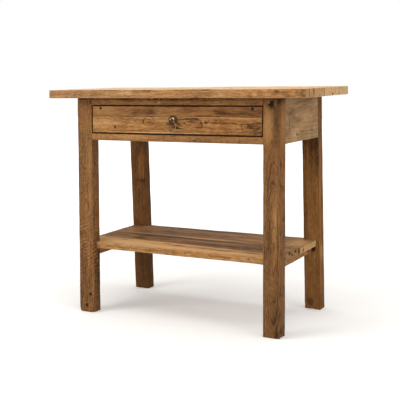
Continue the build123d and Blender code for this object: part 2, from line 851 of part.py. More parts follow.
write(build_screws(), "top_screws")
shelf_nail_points = [(x, y, shelf_height) for x, y in all_shelf_spots]
write(nail_group(shelf_nail_points, UP, shelf_thickness + shelf_nail_bite), "shelf_nails")
guide_nail_points = [(x, y, opening_bottom + guide_height) for x, y in all_guide_spots]
write(nail_group(guide_nail_points, UP, guide_height + guide_nail_bite), "guide_nails")
stop_nail_points = [(x, y, opening_bottom + stop_height) for x, y in all_stop_spots]
write(nail_group(stop_nail_points, UP, stop_height + stop_nail_bite), "stop_nails")
write(nail_group(bottom_nail_points, DOWN, bottom_thickness + bottom_nail_bite), "bottom_nails")
write(nail_group(front_nail_points, OUT, front_nail_length), "drawer_front_nails")
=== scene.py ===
"""Looks of the potting bench: worn reclaimed boards, an aged ring pull, a pale floor, lamps and a camera.

Everything is made at rest in the bench's own frame: X along the bench, -Y to the front, +Z up. Shapes are
worked out in millimetres and scaled to metres when their mesh is made.
"""

import json
import logging
import math
from collections.abc import Callable, Sequence
from dataclasses import dataclass, field, replace
from enum import Enum
from typing import ClassVar

import bmesh
import bpy
import numpy as np
from mathutils import Matrix, Vector

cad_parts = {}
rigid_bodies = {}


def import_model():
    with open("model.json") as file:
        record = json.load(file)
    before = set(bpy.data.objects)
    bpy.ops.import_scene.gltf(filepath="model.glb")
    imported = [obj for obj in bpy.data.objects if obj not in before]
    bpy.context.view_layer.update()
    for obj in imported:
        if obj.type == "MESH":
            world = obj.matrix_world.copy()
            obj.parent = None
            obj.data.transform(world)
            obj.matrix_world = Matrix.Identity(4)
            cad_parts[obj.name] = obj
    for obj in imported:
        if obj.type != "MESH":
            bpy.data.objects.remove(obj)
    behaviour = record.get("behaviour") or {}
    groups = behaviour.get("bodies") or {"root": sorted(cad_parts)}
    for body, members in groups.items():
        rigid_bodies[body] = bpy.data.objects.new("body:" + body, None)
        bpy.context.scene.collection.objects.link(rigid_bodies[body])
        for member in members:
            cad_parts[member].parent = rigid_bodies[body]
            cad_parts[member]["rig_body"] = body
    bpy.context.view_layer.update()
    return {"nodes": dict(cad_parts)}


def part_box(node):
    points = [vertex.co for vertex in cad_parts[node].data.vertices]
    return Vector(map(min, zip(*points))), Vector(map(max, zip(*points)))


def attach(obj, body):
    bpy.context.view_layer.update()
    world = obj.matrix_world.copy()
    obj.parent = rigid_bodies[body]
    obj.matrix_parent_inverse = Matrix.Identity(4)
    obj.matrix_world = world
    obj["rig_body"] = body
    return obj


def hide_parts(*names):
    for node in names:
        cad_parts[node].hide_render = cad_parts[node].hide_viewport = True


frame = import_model()

log = logging.getLogger("potting_bench")

MM = 0.001
# Points closer than this are one point, in m
SAME_PLACE = 2e-6
Triple = tuple[float, float, float]
Edge = Callable[[np.ndarray, np.ndarray], np.ndarray]


# ---- Shader maths ----


def operator(operation: str, flipped: bool = False) -> "Callable[[Sock, Value], Sock]":
    """Makes the method behind an operator.

    Args:
        operation: What its node does, such as ADD.
        flipped: Whether the other value comes first, as in 1 - mask.

    Returns:
        A method that adds a Math node, or a Vector Math node where a vector or a colour is in it.
    """

    def method(self: "Sock", other: "Value") -> "Sock":
        """Adds the node.

        Args:
            other: The other value.

        Returns:
            Output of the new node.
        """
        pair = (other, self) if flipped else (self, other)
        wide = any(isinstance(value, tuple) or isinstance(value, Sock) and value.is_wide() for value in pair)
        kind = "ShaderNodeVectorMath" if wide else "ShaderNodeMath"
        return self.graph.node(kind, {"operation": operation}, dict(enumerate(pair)))

    return method


class Sock:
    """An output socket; arithmetic on it adds nodes."""

    def __init__(self, graph: "Graph", socket: bpy.types.NodeSocket) -> None:
        """Wraps a socket of a graph."""
        self.graph = graph
        self.socket = socket

    __add__, __radd__ = operator("ADD"), operator("ADD", True)
    __sub__, __rsub__ = operator("SUBTRACT"), operator("SUBTRACT", True)
    __mul__, __rmul__ = operator("MULTIPLY"), operator("MULTIPLY", True)
    __truediv__, __rtruediv__ = operator("DIVIDE"), operator("DIVIDE", True)

    def is_wide(self) -> bool:
        """Whether the socket carries a vector or a colour."""
        return self.socket.type in ("VECTOR", "RGBA")

    def call(self, operation: str) -> "Sock":
        """Math node of one value, such as FRACT, SINE or SQRT."""
        return self.graph.node("ShaderNodeMath", {"operation": operation}, {0: self})

    def length(self) -> "Sock":
        """Length of a vector."""
        return self.graph.node("ShaderNodeVectorMath", {"operation": "LENGTH"}, {0: self}, 1)

    def smooth(self, low: float, high: float) -> "Sock":
        """Smooth step, falling if low is above high.

        Args:
            low: Value at and beyond which it is 0.
            high: Value at and beyond which it is 1.

        Returns:
            The step, from 0 to 1.
        """
        ends = {0: self, 1: low, 2: high, 3: 0.0, 4: 1.0}
        if low > high:
            ends = {0: self, 1: high, 2: low, 3: 1.0, 4: 0.0}
        return self.graph.node("ShaderNodeMapRange", {"interpolation_type": "SMOOTHSTEP"}, ends)

    def parts(self) -> list["Sock"]:
        """The three parts of a vector or a colour."""
        return [self.graph.node("ShaderNodeSeparateXYZ", {}, {0: self}, index) for index in range(3)]


Value = Sock | float | tuple


class Graph:
    """The nodes of one material or world."""

    def __init__(self, tree: bpy.types.NodeTree) -> None:
        """Empties a node tree and fills it anew."""
        self.tree = tree
        tree.nodes.clear()

    def node(
        self, kind: str, settings: dict | None = None, inputs: dict | None = None, output: int = 0
    ) -> Sock:
        """Adds a node.

        Args:
            kind: The node's type.
            settings: Its properties; "stops" are a ramp's (place, colour) pairs.
            inputs: Values or links of its sockets, by name or number.
            output: Number of the output socket that is wanted.

        Returns:
            The wanted output socket.
        """
        made = self.tree.nodes.new(kind)
        for key, value in (settings or {}).items():
            if key == "stops":
                ramp = made.color_ramp.elements
                while len(ramp) < len(value):
                    ramp.new(0.5)
                for stop, (place, colour) in zip(ramp, value):
                    stop.position, stop.color = place, (*colour, 1.0)
            else:
                setattr(made, key, value)
        for key, value in (inputs or {}).items():
            socket = made.inputs[key]
            if isinstance(value, Sock):
                self.tree.links.new(value.socket, socket)
            elif socket.type == "RGBA":
                socket.default_value = (*value, 1.0)
            elif socket.type == "VECTOR" and not isinstance(value, tuple):
                socket.default_value = (value, value, value)
            else:
                socket.default_value = value
        return Sock(self, made.outputs[output] if made.outputs else None)

    def mix(self, share: Value, first: Value, second: Value) -> Sock:
        """Colour between two colours, by a share from 0 to 1."""
        inputs = {0: share, 6: first, 7: second}
        return self.node("ShaderNodeMix", {"data_type": "RGBA"}, inputs, 2)

    def noise(self, place: Sock, detail: float = 2.0, rough: float = 0.5, output: int = 0) -> Sock:
        """Noise at a place, one feature to a unit; output 1 gives three noises as a colour."""
        inputs = {"Vector": place, "Scale": 1.0, "Detail": detail, "Roughness": rough}
        return self.node("ShaderNodeTexNoise", {}, inputs, output)

    def place(self) -> Sock:
        """Place on the piece, in mm."""
        return self.node("ShaderNodeTexCoord", {}, {}, 3) * (1 / MM)

    def layer(self, name: str) -> Sock:
        """Value of one of the piece's own attributes."""
        return self.node("ShaderNodeAttribute", {"attribute_name": name}, {}, 2)

    def bump(self, height: Sock, strength: float, distance: float) -> Sock:
        """Normal of a surface with this height, whose unit is a distance in m."""
        return self.node("ShaderNodeBump", {}, {"Strength": strength, "Distance": distance, "Height": height})

    def surface(self, inputs: dict) -> None:
        """Ends the graph with a Principled shader of these inputs."""
        shader = self.node("ShaderNodeBsdfPrincipled", {}, inputs)
        self.node("ShaderNodeOutputMaterial", {}, {"Surface": shader})


def new_graph(name: str) -> tuple[bpy.types.Material, Graph]:
    """Makes a material.

    Args:
        name: Name of the material.

    Returns:
        The material, and the empty graph of its nodes.
    """
    material = bpy.data.materials.new(name)
    material.use_nodes = True
    return material, Graph(material.node_tree)


def colour(code: str) -> Triple:
    """Linear colour of a hexadecimal sRGB code."""
    parts = [int(code[index : index + 2], 16) / 255 for index in (0, 2, 4)]
    return tuple(p / 12.92 if p <= 0.04045 else ((p + 0.055) / 1.055) ** 2.4 for p in parts)


# ---- Wood ----


class Lie(Enum):
    """How a board lies: the world axes of its length, width and thickness."""

    FLAT = "xyz"
    RAIL = "xzy"
    SIDE = "yzx"
    POST = "zxy"
    STRIP = "yxz"

    @property
    def axes(self) -> list[int]:
        """Numbers of those axes."""
        return ["xyz".index(axis) for axis in self.value]


@dataclass(frozen=True)
class FlawAndPaintedShade:
    """A knot, hole, chip or crack, or a patch of painted shade: an ellipsoid in which the wood is sunk,
    darkened or ringed.

    Attributes:
        centre: Its middle, in mm.
        reach: Its half-lengths along the world's axes, in mm.
        depth: How far the surface sinks at its middle, in mm.
        shade: How dark its middle is, from 0 to 1.
        lines: Number of thin dark lines round it, out to its reach.
        warp: How far those lines wander, as a share of its reach.
        ink: How dark those lines are.
    """

    centre: Triple
    reach: Triple
    depth: float = 0.0
    shade: float = 0.0
    lines: float = 0.0
    warp: float = 1.2
    ink: float = 0.5


@dataclass(frozen=True)
class StainAndPaintedLight:
    """A patch of another tone, for stains and wear and for painted light and shade: below 0 darker, above 0
    lighter, in an ellipsoid in mm.

    Attributes:
        centre: Its middle, in mm.
        reach: Its half-lengths along the world's axes, in mm.
        tone: What it adds to the tone.
        ragged: How far its edge wanders, as a share of its reach.
    """

    centre: Triple
    reach: Triple
    tone: float
    ragged: float = 0.6


class Grain:
    """Directions and noises of one board; the noises are drawn out along its grain.

    Attributes:
        graph: The material's nodes.
        place: Place on the piece, in mm.
        along: Place along the board, from its middle, in mm.
        across: Place across it, likewise.
        through: Place through it, likewise.
        bend: Three slow noises, which bend the rings and shift the tint.
        streak: Narrow streaks.
        band: Broad bands.
        fibre: Fine fibres.
        blotch: Broad blotches.
        grit: Fine roughness of tone.
        fleck: Sparse short flecks.
        drift: Three noises, for the lines round knots and the patches of saw marks.
        pores: Pores of the end grain.
    """

    # Length along and width across the grain of each noise's features, in mm
    BEND = (230.0, 60.0)
    STREAK = (150.0, 6.0)
    BAND = (420.0, 24.0)
    FIBRE = (30.0, 1.5)
    BLOTCH = (90.0, 38.0)
    FLECK = (14.0, 2.6)
    DRIFT = (42.0, 24.0)
    PORE = (6.0, 2.2)
    GRIT_WIDTH = 4.6

    def __init__(self, graph: Graph, middle: Triple, lie: Lie, shift: float, grit_length: float) -> None:
        """Makes the noises.

        Args:
            graph: The material's nodes.
            middle: The board's middle, in mm.
            lie: How the board lies.
            shift: Start of the noises, in mm.
            grit_length: Length of the grit along the board, in mm.
        """
        self.graph = graph
        self.place = graph.place()
        world = (self.place - middle).parts()
        self.along, self.across, self.through = [world[axis] for axis in lie.axes]
        self.bend = self.noise(self.BEND, shift, 2.0, 0.5, 1).parts()
        self.streak = self.noise(self.STREAK, shift + 500, 4.0, 0.62)
        self.band = self.noise(self.BAND, shift + 90, 2.0)
        self.fibre = self.noise(self.FIBRE, shift, 2.0, 0.6)
        self.blotch = self.noise(self.BLOTCH, shift - 900, 3.0)
        self.grit = self.noise((grit_length, self.GRIT_WIDTH), shift + 33, 3.0, 0.7)
        self.fleck = self.noise(self.FLECK, shift + 70, 1.0).smooth(0.68, 0.78)
        self.drift = self.noise(self.DRIFT, shift + 7, 1.0, 0.5, 1).parts()
        self.pores = self.noise(self.PORE, shift, 3.0, 0.6)

    def noise(
        self, size: tuple[float, float], start: float, detail: float, rough: float = 0.5, output: int = 0
    ) -> Sock:
        """Noise drawn out along the grain.

        Args:
            size: Length along and width across the grain of its features, in mm.
            start: Its start along the board, in mm.
            detail: Number of finer layers in it.
            rough: Strength of each finer layer.
            output: 0 for one noise, 1 for three as a colour.

        Returns:
            The noise.
        """
        length, width = size
        parts = {0: (self.along + start) / length, 1: self.across / width, 2: self.through / width}
        return self.graph.noise(self.graph.node("ShaderNodeCombineXYZ", {}, parts), detail, rough, output)

    def nearness(self, mark: FlawAndPaintedShade | StainAndPaintedLight) -> Sock:
        """Distance from the mark's middle, in its own half-lengths."""
        return ((self.place - mark.centre) * tuple(1 / reach for reach in mark.reach)).length()

    def lines_round(self, flaw_or_shade: FlawAndPaintedShade, near: Sock) -> Sock:
        """Thin wandering lines round a flaw, each at the end of an equal share of its reach.

        Args:
            flaw_or_shade: The flaw.
            near: Distance from its middle, in its own half-lengths.

        Returns:
            The lines, 1 where they show most.
        """
        turn = ((near + (self.drift[0] - 0.5) * flaw_or_shade.warp) * flaw_or_shade.lines).call("FRACT")
        thin = turn.smooth(0.45, 0.85) * turn.smooth(1.0, 0.85) * near.smooth(1.15, 0.85)
        return thin * self.drift[1].smooth(0.36, 0.56)


@dataclass(frozen=True)
class Wood:
    """Finish of a board of old oiled teak; growth rings round a pith that runs along the board.

    Attributes:
        dark: Colour of late wood, stains and painted shade.
        body: Middle colour.
        light: Colour of early wood, rubbed places and painted light.
        end: Colour of the end grain.
        ring: Width of a growth ring, in mm.
        rings: Strength of the ring lines.
        streaks: Strength of the narrow streaks along the grain.
        bands: Strength of the broad bands along the grain.
        blotches: Strength of the broad blotches.
        grit: Strength of the fine roughness of tone.
        grain: Length of that roughness along the board, in mm.
        wear: How light the rubbed arrises are.
        saw: Strength of the slanting marks left by a saw.
        sawn: Where along the board, from its middle, those marks are clearest, in mm.
        pith: Place of the pith across and through the board, from its middle, in mm.
        tilt: Slope of the pith across and through the board.
        shift: Start of the noises, in mm, so that no two boards are alike.
        bias: Added to the tone all over.
        gloss: Strength of its sheen.
        waxed: How much smoother it is towards its low end.
    """

    dark: str = "5a3a20"
    body: str = "94683f"
    light: str = "bd9160"
    end: str = "8f7048"
    ring: float = 7.0
    rings: float = 0.3
    streaks: float = 0.75
    bands: float = 0.55
    blotches: float = 0.8
    grit: float = 1.2
    grain: float = 16.0
    wear: float = 0.6
    saw: float = 0.0
    sawn: float = 0.0
    pith: tuple[float, float] = (8.0, 60.0)
    tilt: tuple[float, float] = (0.01, 0.04)
    shift: float = 0.0
    bias: float = 0.0
    gloss: float = 0.1
    waxed: float = 0.0

    # How far the rings bend, and size of the end grain's layers across and through, in mm
    BEND_REACH = 24.0
    LAYER_SIZE = (4.0, 22.0)
    # Distance between saw marks, half-length of their clear part, in mm, and how far they slant
    SAW_PITCH = 13.0
    SAW_REACH = 95.0
    SAW_SLANT = 0.6
    # Where along the board, from its middle, the wax begins and is full, in mm
    WAX_START = 60.0
    WAX_FULL = -330.0
    # Near-black colour of knots, holes and dirt and of painted shade in gaps and under things, and the two
    # tints that drift along the board
    SPOT_AND_SHADE_COLOUR = "221205"
    WARM = (1.03, 0.985, 0.9)
    COOL = (0.97, 1.01, 1.03)
    # Roughness of plain wood, and strength and depth, in m, of its bump
    PLAIN_ROUGHNESS = 0.66
    BUMP = (0.55, 0.0007)

    def late_wood(self, grain: Grain) -> Sock:
        """Late wood: the distance from the pith, bent by noise, is cut into rings, and it is each ring's end.

        Args:
            grain: Directions and noises of the board.

        Returns:
            1 where late wood shows most.
        """
        aside, under = [
            side - pith - grain.along * tilt + (bend - 0.5) * self.BEND_REACH
            for side, pith, tilt, bend in zip((grain.across, grain.through), self.pith, self.tilt, grain.bend)
        ]
        part = ((aside * aside + under * under).call("SQRT") / self.ring).call("FRACT")
        return part.smooth(0.55, 0.92) * part.smooth(1.0, 0.92)

    def plain_tone(self, grain: Grain, late: Sock) -> Sock:
        """Tone of the wood without marks: the sum of the noises, less the late wood.

        Args:
            grain: Directions and noises of the board.
            late: Where late wood shows.

        Returns:
            The tone, about 0 for dark and 1 for light.
        """
        tone = (grain.streak - 0.5) * self.streaks + (grain.band - 0.5) * self.bands
        tone = tone + (grain.blotch - 0.5) * self.blotches + (0.5 + self.bias)
        tone = tone + (grain.grit - 0.5) * self.grit + (grain.fibre - 0.5) * 0.5 - grain.fleck * 0.45
        return tone - late * self.rings * (0.4 + grain.bend[2])

    def saw_marks(self, grain: Grain) -> Sock:
        """Slanting lines, a pitch apart, that show in patches and are clearest at one part of the board.

        Args:
            grain: Directions and noises of the board.

        Returns:
            1 where the lines show most.
        """
        slant = grain.along - grain.across * self.SAW_SLANT + (grain.bend[0] - 0.5) * 40.0
        slant = slant * (2 * math.pi / self.SAW_PITCH)
        clear = ((grain.along - self.sawn) / self.SAW_REACH).call("ABSOLUTE").smooth(1.2, 0.5) + 0.25
        return slant.call("SINE").smooth(0.0, 0.9) * clear * grain.drift[2].smooth(0.4, 0.55)

    def end_tint(self, grain: Grain, late: Sock) -> Sock:
        """Colour of the end grain: noises of pores and layers choose between dark and the end's own colour.

        Args:
            grain: Directions and noises of the board.
            late: Where late wood shows.

        Returns:
            The colour.
        """
        layer = {0: grain.across / self.LAYER_SIZE[0], 1: grain.through / self.LAYER_SIZE[1], 2: self.shift}
        layers = grain.graph.noise(grain.graph.node("ShaderNodeCombineXYZ", {}, layer), 2.0, 0.6)
        share = (grain.pores * 0.7 + layers * 1.1 - 0.4 - late * 0.1).smooth(0.0, 0.7)
        return grain.graph.mix(share, colour(self.dark), colour(self.end))

    def material(
        self, name: str, middle: Triple, lie: Lie, flaws_and_painted_shade: Sequence[FlawAndPaintedShade] = (), stains_and_painted_light: Sequence[StainAndPaintedLight] = ()
    ) -> bpy.types.Material:
        """Makes the finish for one board.

        The plain tone, the lines round knots, the stains with the painted light and shade, and the saw marks
        are summed, and a ramp turns that tone into a colour. Rubbed arrises, end grain and dark spots, which
        are knots, holes and dirt and painted shade in gaps and under things, are laid over it, in that order.

        Args:
            name: Name of the material.
            middle: The board's middle, in mm.
            lie: How the board lies.
            flaws_and_painted_shade: Knots, holes, chips and cracks, and patches of painted shade.
            stains_and_painted_light: Patches of another tone: stains and wear, and painted light and shade.

        Returns:
            The material.
        """
        material, graph = new_graph(name)
        grain = Grain(graph, middle, lie, self.shift, self.grain)
        late = self.late_wood(grain)
        tone = self.plain_tone(grain, late)
        dark_spots_and_shade: Value = 0.0
        for flaw_or_shade in flaws_and_painted_shade:
            near = grain.nearness(flaw_or_shade)
            if flaw_or_shade.lines:
                tone = tone - grain.lines_round(flaw_or_shade, near) * flaw_or_shade.ink
            if flaw_or_shade.shade:
                # Dark spots: knots, holes and dirt, and painted shade in gaps and under things
                dark_spots_and_shade = (near + (grain.grit - 0.5) * 0.5).smooth(1.1, 0.45) * flaw_or_shade.shade + dark_spots_and_shade
        # Stains and wear, and painted light and shade, shift the tone
        for stain_or_painted_light in stains_and_painted_light:
            ragged = (grain.blotch + grain.streak * 2.0 + grain.grit - 2.0) * stain_or_painted_light.ragged
            tone = tone + (grain.nearness(stain_or_painted_light) + ragged).smooth(1.25, 0.1) * stain_or_painted_light.tone
        marks: Value = 0.0
        if self.saw:
            marks = self.saw_marks(grain)
            tone = tone + (marks - 0.2) * self.saw
        ramp = [(0.0, colour(self.dark)), (0.5, colour(self.body)), (1.0, colour(self.light))]
        tint = graph.node("ShaderNodeValToRGB", {"stops": ramp}, {0: tone})
        tint = tint * graph.mix(grain.bend[1].smooth(0.3, 0.7), self.WARM, self.COOL)
        rubbed = graph.layer("arris") * 1.3 * grain.streak.smooth(0.3, 0.62)
        rubbed = rubbed.smooth(0.0, 1.0) * self.wear
        tint = graph.mix(rubbed, tint, colour(self.light))
        cut = graph.layer("end_grain")
        tint = graph.mix(cut * 0.9, tint, self.end_tint(grain, late))
        tint = graph.mix(dark_spots_and_shade, tint, colour(self.SPOT_AND_SHADE_COLOUR))
        height = grain.streak * 0.8 + grain.fibre * 0.6 - late * 0.25 - grain.fleck * 0.4
        height = height + marks * 0.35 + grain.pores * cut * 0.8
        rough = self.PLAIN_ROUGHNESS - rubbed * 0.1 + (grain.fibre - 0.5) * 0.25 + cut * 0.15
        if self.waxed:
            rough = rough - grain.along.smooth(self.WAX_START, self.WAX_FULL) * self.waxed
        inputs = {"Base Color": tint, "Roughness": rough, "Normal": graph.bump(height, *self.BUMP)}
        graph.surface(inputs | {"Specular IOR Level": self.gloss})
        return material


@dataclass(frozen=True)
class Metal:
    """Finish of a metal piece: a bright tone that shows through a dull dark skin on its high spots, where it
    is rubbed, and on the rosette where a highlight is painted.

    Attributes:
        bright: Colour of the rubbed metal.
        skin: Colour of the dull skin.
        rubbed: How much of the metal shows, from 0 to 1.
        polish: Roughness of the rubbed metal.
        base: How metallic the skin is.
        gloss: Strength of the skin's sheen.
    """

    bright: str
    skin: str
    rubbed: float
    polish: float
    base: float = 0.3
    gloss: float = 0.5

    # How much the piece's own wear and painted highlight add, roughness of the skin, and strength and depth,
    # in m, of the bump
    WEAR_AND_HIGHLIGHT_SHARE = 0.55
    SKIN_ROUGHNESS = 0.6
    BUMP = (0.4, 0.0002)

    def material(self, name: str) -> bpy.types.Material:
        """Makes the finish: noise of about 3 mm, and the piece's own wear and painted highlight, choose
        between metal and skin.

        Args:
            name: Name of the material.

        Returns:
            The material.
        """
        material, graph = new_graph(name)
        place = graph.place()
        patch = graph.noise(place * 0.35, 3.0, 0.6)
        grit = graph.noise(place * 2.0, 3.0, 0.6)
        wear_and_highlight = graph.layer("arris")
        shine = (patch + wear_and_highlight * self.WEAR_AND_HIGHLIGHT_SHARE + (self.rubbed - 0.5)).smooth(0.35, 0.75)
        tint = graph.mix(shine, colour(self.skin), colour(self.bright))
        rough = self.SKIN_ROUGHNESS - shine * (self.SKIN_ROUGHNESS - self.polish) + (grit - 0.5) * 0.2
        bump = graph.bump(grit, *self.BUMP)
        metal = self.base + shine * (1.0 - self.base) if self.rubbed else 0.0
        inputs = {"Base Color": tint, "Metallic": metal, "Roughness": rough, "Normal": bump}
        graph.surface(inputs | {"Specular IOR Level": self.gloss})
        return material


# ---- Meshes ----


@dataclass(frozen=True)
class Ripple:
    """Smooth noise from about -1 to 1: the sum of sine waves in random directions, from a seed.

    Attributes:
        seed: Start of the random draws.
        lengths: Usual wavelengths along the three axes, in mm.
        waves: Number of waves in the sum.
    """

    seed: int
    lengths: Triple
    waves: int = 9

    def __call__(self, points: np.ndarray) -> np.ndarray:
        """Adds up sin(k . p + phase) over the waves, scaled by the root of their number.

        Args:
            points: Points in their last axis, in mm.

        Returns:
            The value at each point.
        """
        draw = np.random.default_rng(self.seed)
        turns = draw.normal(size=(self.waves, 3))
        turns *= draw.uniform(0.7, 1.5, (self.waves, 1)) / np.linalg.norm(turns, axis=1, keepdims=True)
        phases = draw.uniform(0, 2 * math.pi, self.waves)
        turns = turns * 2 * math.pi / np.array(self.lengths)
        return np.sin(points @ turns.T + phases).sum(-1) / self.waves**0.5


def stations(
    low: float, high: float, step: float, marks: Sequence[float] = (), fine: float = 0.8
) -> np.ndarray:
    """Places from low to high, a step apart, and closer together round each mark.

    Args:
        low: First place.
        high: Last place.
        step: Usual distance.
        marks: Places that need a finer mesh.
        fine: Distance near a mark.

    Returns:
        The places in order, with both ends.
    """
    spots = [np.linspace(low, high, max(2, round((high - low) / step) + 1))]
    spots += [mark + fine * np.arange(-4, 5) for mark in marks]
    every = np.sort(np.concatenate(spots))
    every = every[(every > low + fine / 2) & (every < high - fine / 2)]
    every = every[np.append(True, np.diff(every) > fine * 0.45)]
    return np.concatenate([[low], every, [high]])


def grid_mesh(name: str, points: np.ndarray, loops: bool, layers: dict[str, np.ndarray]) -> bpy.types.Object:
    """Makes a piece from a grid of points whose columns go round and close.

    Each face joins a point to the next in its row and the same two in the next row. Points that fall
    together, as on a cap's middle line, are merged, and all faces are turned outwards.

    Args:
        name: Name of the piece.
        points: Rows by columns by 3, in mm.
        loops: Whether the last row joins the first as well.
        layers: Values for each point, by the name of the attribute that holds them.

    Returns:
        The new object, in metres.
    """
    rows, columns = points.shape[:2]
    row = np.arange(rows if loops else rows - 1)[:, None]
    column = np.arange(columns)[None, :]
    ahead, beside = (row + 1) % rows, (column + 1) % columns
    corners = ((row, column), (row, beside), (ahead, beside), (ahead, column))
    faces = np.stack([line * columns + spot for line, spot in corners], -1).reshape(-1, 4)
    mesh = bpy.data.meshes.new(name)
    mesh.from_pydata((points.reshape(-1, 3) * MM).tolist(), [], faces.tolist())
    for key, values in layers.items():
        layer = mesh.attributes.new(key, "FLOAT", "POINT").data
        layer.foreach_set("value", values.astype(np.float32).ravel())
    work = bmesh.new()
    work.from_mesh(mesh)
    bmesh.ops.remove_doubles(work, verts=work.verts, dist=SAME_PLACE)
    bmesh.ops.recalc_face_normals(work, faces=work.faces)
    work.to_mesh(mesh)
    work.free()
    mesh.shade_smooth()
    piece = bpy.data.objects.new(name, mesh)
    bpy.context.scene.collection.objects.link(piece)
    return piece


@dataclass
class Board:
    """A worn board: a rectangle with rounded corners, carried along the board and rounded over at both ends.

    Attributes:
        name: Name of the piece.
        node: CAD node that it stands for.
        lie: How it lies.
        wood: Its finish.
        slot: The record's material slot.
        low: Lowest x, y and z, in mm; the CAD node's if left out.
        high: Highest x, y and z, in mm; the CAD node's if left out.
        near: Its front face or edge, as y at x and z; a plane y = low if left out.
        far: Its back face or edge, likewise.
        arris: Radius of its worn arrises, in mm.
        uneven: How far its faces sink here and there, in mm.
        step: Distance between mesh lines, in mm.
        flaws_and_painted_shade: Its knots, holes, chips and cracks, and its patches of painted shade.
        stains_and_painted_light: Its patches of another tone: stains and wear, and painted light and shade.
        marks: Places along x that need a finer mesh, in mm.
    """

    name: str
    node: str
    lie: Lie
    wood: Wood
    slot: str
    low: np.ndarray | None = None
    high: np.ndarray | None = None
    near: Edge | None = None
    far: Edge | None = None
    arris: float = 2.2
    uneven: float = 0.7
    step: float = 4.5
    flaws_and_painted_shade: Sequence[FlawAndPaintedShade] = ()
    stains_and_painted_light: Sequence[StainAndPaintedLight] = ()
    marks: Sequence[float] = ()

    CORNER_COLUMNS = 5
    CAP_ROWS = 5
    # How far the cut ends sink here and there, in mm, and the fine unevenness as a share of the broad one
    END_ROUGHNESS = 0.3
    FINE_SHARE = 0.25
    # Radius of the arrises as a share of the usual one: its middle, how far it varies, and its limits
    ARRIS_MIDDLE = 0.85
    ARRIS_SPREAD = 0.45
    ARRIS_LIMITS = (0.35, 1.4)
    # Wavelengths along, across and through the board, in mm: of the arrises' radius, of the broad and the
    # fine unevenness, of the ends' roughness, and of the wear on the arrises
    ARRIS_WAVES = (90.0, 1.0, 1.0)
    BROAD_WAVES = (260.0, 70.0, 70.0)
    FINE_WAVES = (70.0, 9.0, 9.0)
    END_WAVES = (9.0, 9.0, 9.0)
    WEAR_WAVES = (120.0, 20.0, 20.0)

    def __post_init__(self) -> None:
        """Takes the corners of the CAD node's box where none are given."""
        low, high = span(self.node)
        self.low = low if self.low is None else self.low
        self.high = high if self.high is None else self.high

    @property
    def size(self) -> np.ndarray:
        """Length, width and thickness, in mm."""
        return (self.high - self.low)[self.lie.axes]

    def lay(self, shares: np.ndarray) -> np.ndarray:
        """Puts points in place.

        A share s of a straight side gives low + s (high - low). In y the two ends are the near and the far
        line at the point's x and z, so that leaning and tapering boards keep flat faces.

        Args:
            shares: Points as shares, 0 to 1, of the length, width and thickness.

        Returns:
            The points in the world, in mm.
        """
        world = np.empty_like(shares)
        world[..., self.lie.axes] = shares
        share_y = world[..., 1].copy()
        world = self.low + (self.high - self.low) * world
        near = self.near(world[..., 0], world[..., 2]) if self.near else self.low[1]
        far = self.far(world[..., 0], world[..., 2]) if self.far else self.high[1]
        world[..., 1] = near + (far - near) * share_y
        return world

    def section(
        self, inset: np.ndarray, radii: np.ndarray, marks: Sequence[float]
    ) -> tuple[np.ndarray, np.ndarray]:
        """Rounded rectangle across the board, one for each row.

        Four quarter circles, corner + r (cos t, sin t), are joined by straight sides, which are shared out
        between the ends of the two quarters beside them.

        Args:
            inset: How far each row's outline lies inside the full one, in mm.
            radii: Corner radii, rows by 4, in mm.
            marks: Places across the board that need a finer mesh, in mm from its middle.

        Returns:
            Places and outward directions in the section, both rows by columns by 2.
        """
        _, width, thick = self.size
        half = np.array([width / 2, thick / 2])
        signs = np.array([(1, 1), (-1, 1), (-1, -1), (1, -1)])
        turn = np.linspace(0, math.pi / 2, self.CORNER_COLUMNS)
        across = stations(-width / 2 + self.arris, width / 2 - self.arris, self.step, marks)
        through = stations(-thick / 2 + self.arris, thick / 2 - self.arris, self.step)
        places, ways = [], []

        def corner(index: int, angle: np.ndarray) -> tuple[np.ndarray, np.ndarray]:
            """Rounds one corner.

            Args:
                index: Which of the four.
                angle: Angles on its quarter circle, from 0 to a right angle.

            Returns:
                Points and outward directions, both rows by angles by 2.
            """
            angle = angle + index * math.pi / 2
            way = np.stack([np.cos(angle), np.sin(angle)], -1)
            radius = radii[:, index, None, None]
            middle = signs[index] * (half - inset[:, None, None] - radius)
            return middle + radius * way, np.broadcast_to(way, (len(inset), *way.shape))

        for index in range(4):
            point, way = corner(index, turn)
            places.append(point)
            ways.append(way)
            # The side from this corner's end to the next one's start
            side = across if index % 2 == 0 else through
            share = (side[1:-1] - side[0]) / (side[-1] - side[0])
            share = share if index in (2, 3) else 1 - share[::-1]
            start, _ = corner(index, turn[-1:])
            stop, _ = corner((index + 1) % 4, turn[:1])
            places.append(start + (stop - start) * share[None, :, None])
            ways.append(np.broadcast_to(way[:, -1:], (len(inset), len(share), 2)))
        return np.concatenate(places, 1), np.concatenate(ways, 1)

    def rows(self, marks: Sequence[float]) -> tuple[np.ndarray, np.ndarray, np.ndarray]:
        """Rows of the mesh, from the middle of one end's cap to the middle of the other.

        They run out to the cap's rim, over a quarter circle onto the sides, and along the board to the other
        end, which mirrors the first.

        Args:
            marks: Places along the board that need a finer mesh, in mm from its start.

        Returns:
            Each row's place along the board, how far it lies inside the full outline, both in mm, and how
            much it faces along the board, from -1 to 1.
        """
        length, _, thick = self.size
        cap = np.linspace(thick / 2, self.arris, self.CAP_ROWS)
        turn = np.linspace(math.pi / 2, 0, self.CORNER_COLUMNS)[1:]
        body = stations(self.arris, length - self.arris, self.step, marks)[1:-1]
        run = np.concatenate([np.zeros(len(cap)), self.arris * (1 - np.sin(turn)), body])
        inset = np.concatenate([cap, self.arris * (1 - np.cos(turn)), np.zeros(len(body))])
        tilt = np.concatenate([np.ones(len(cap)), np.sin(turn), np.zeros(len(body))])
        end = slice(None, len(cap) + len(turn))
        run = np.concatenate([run, length - run[end][::-1]])
        inset = np.concatenate([inset, inset[end][::-1]])
        return run, inset, np.concatenate([-tilt, tilt[end][::-1]])

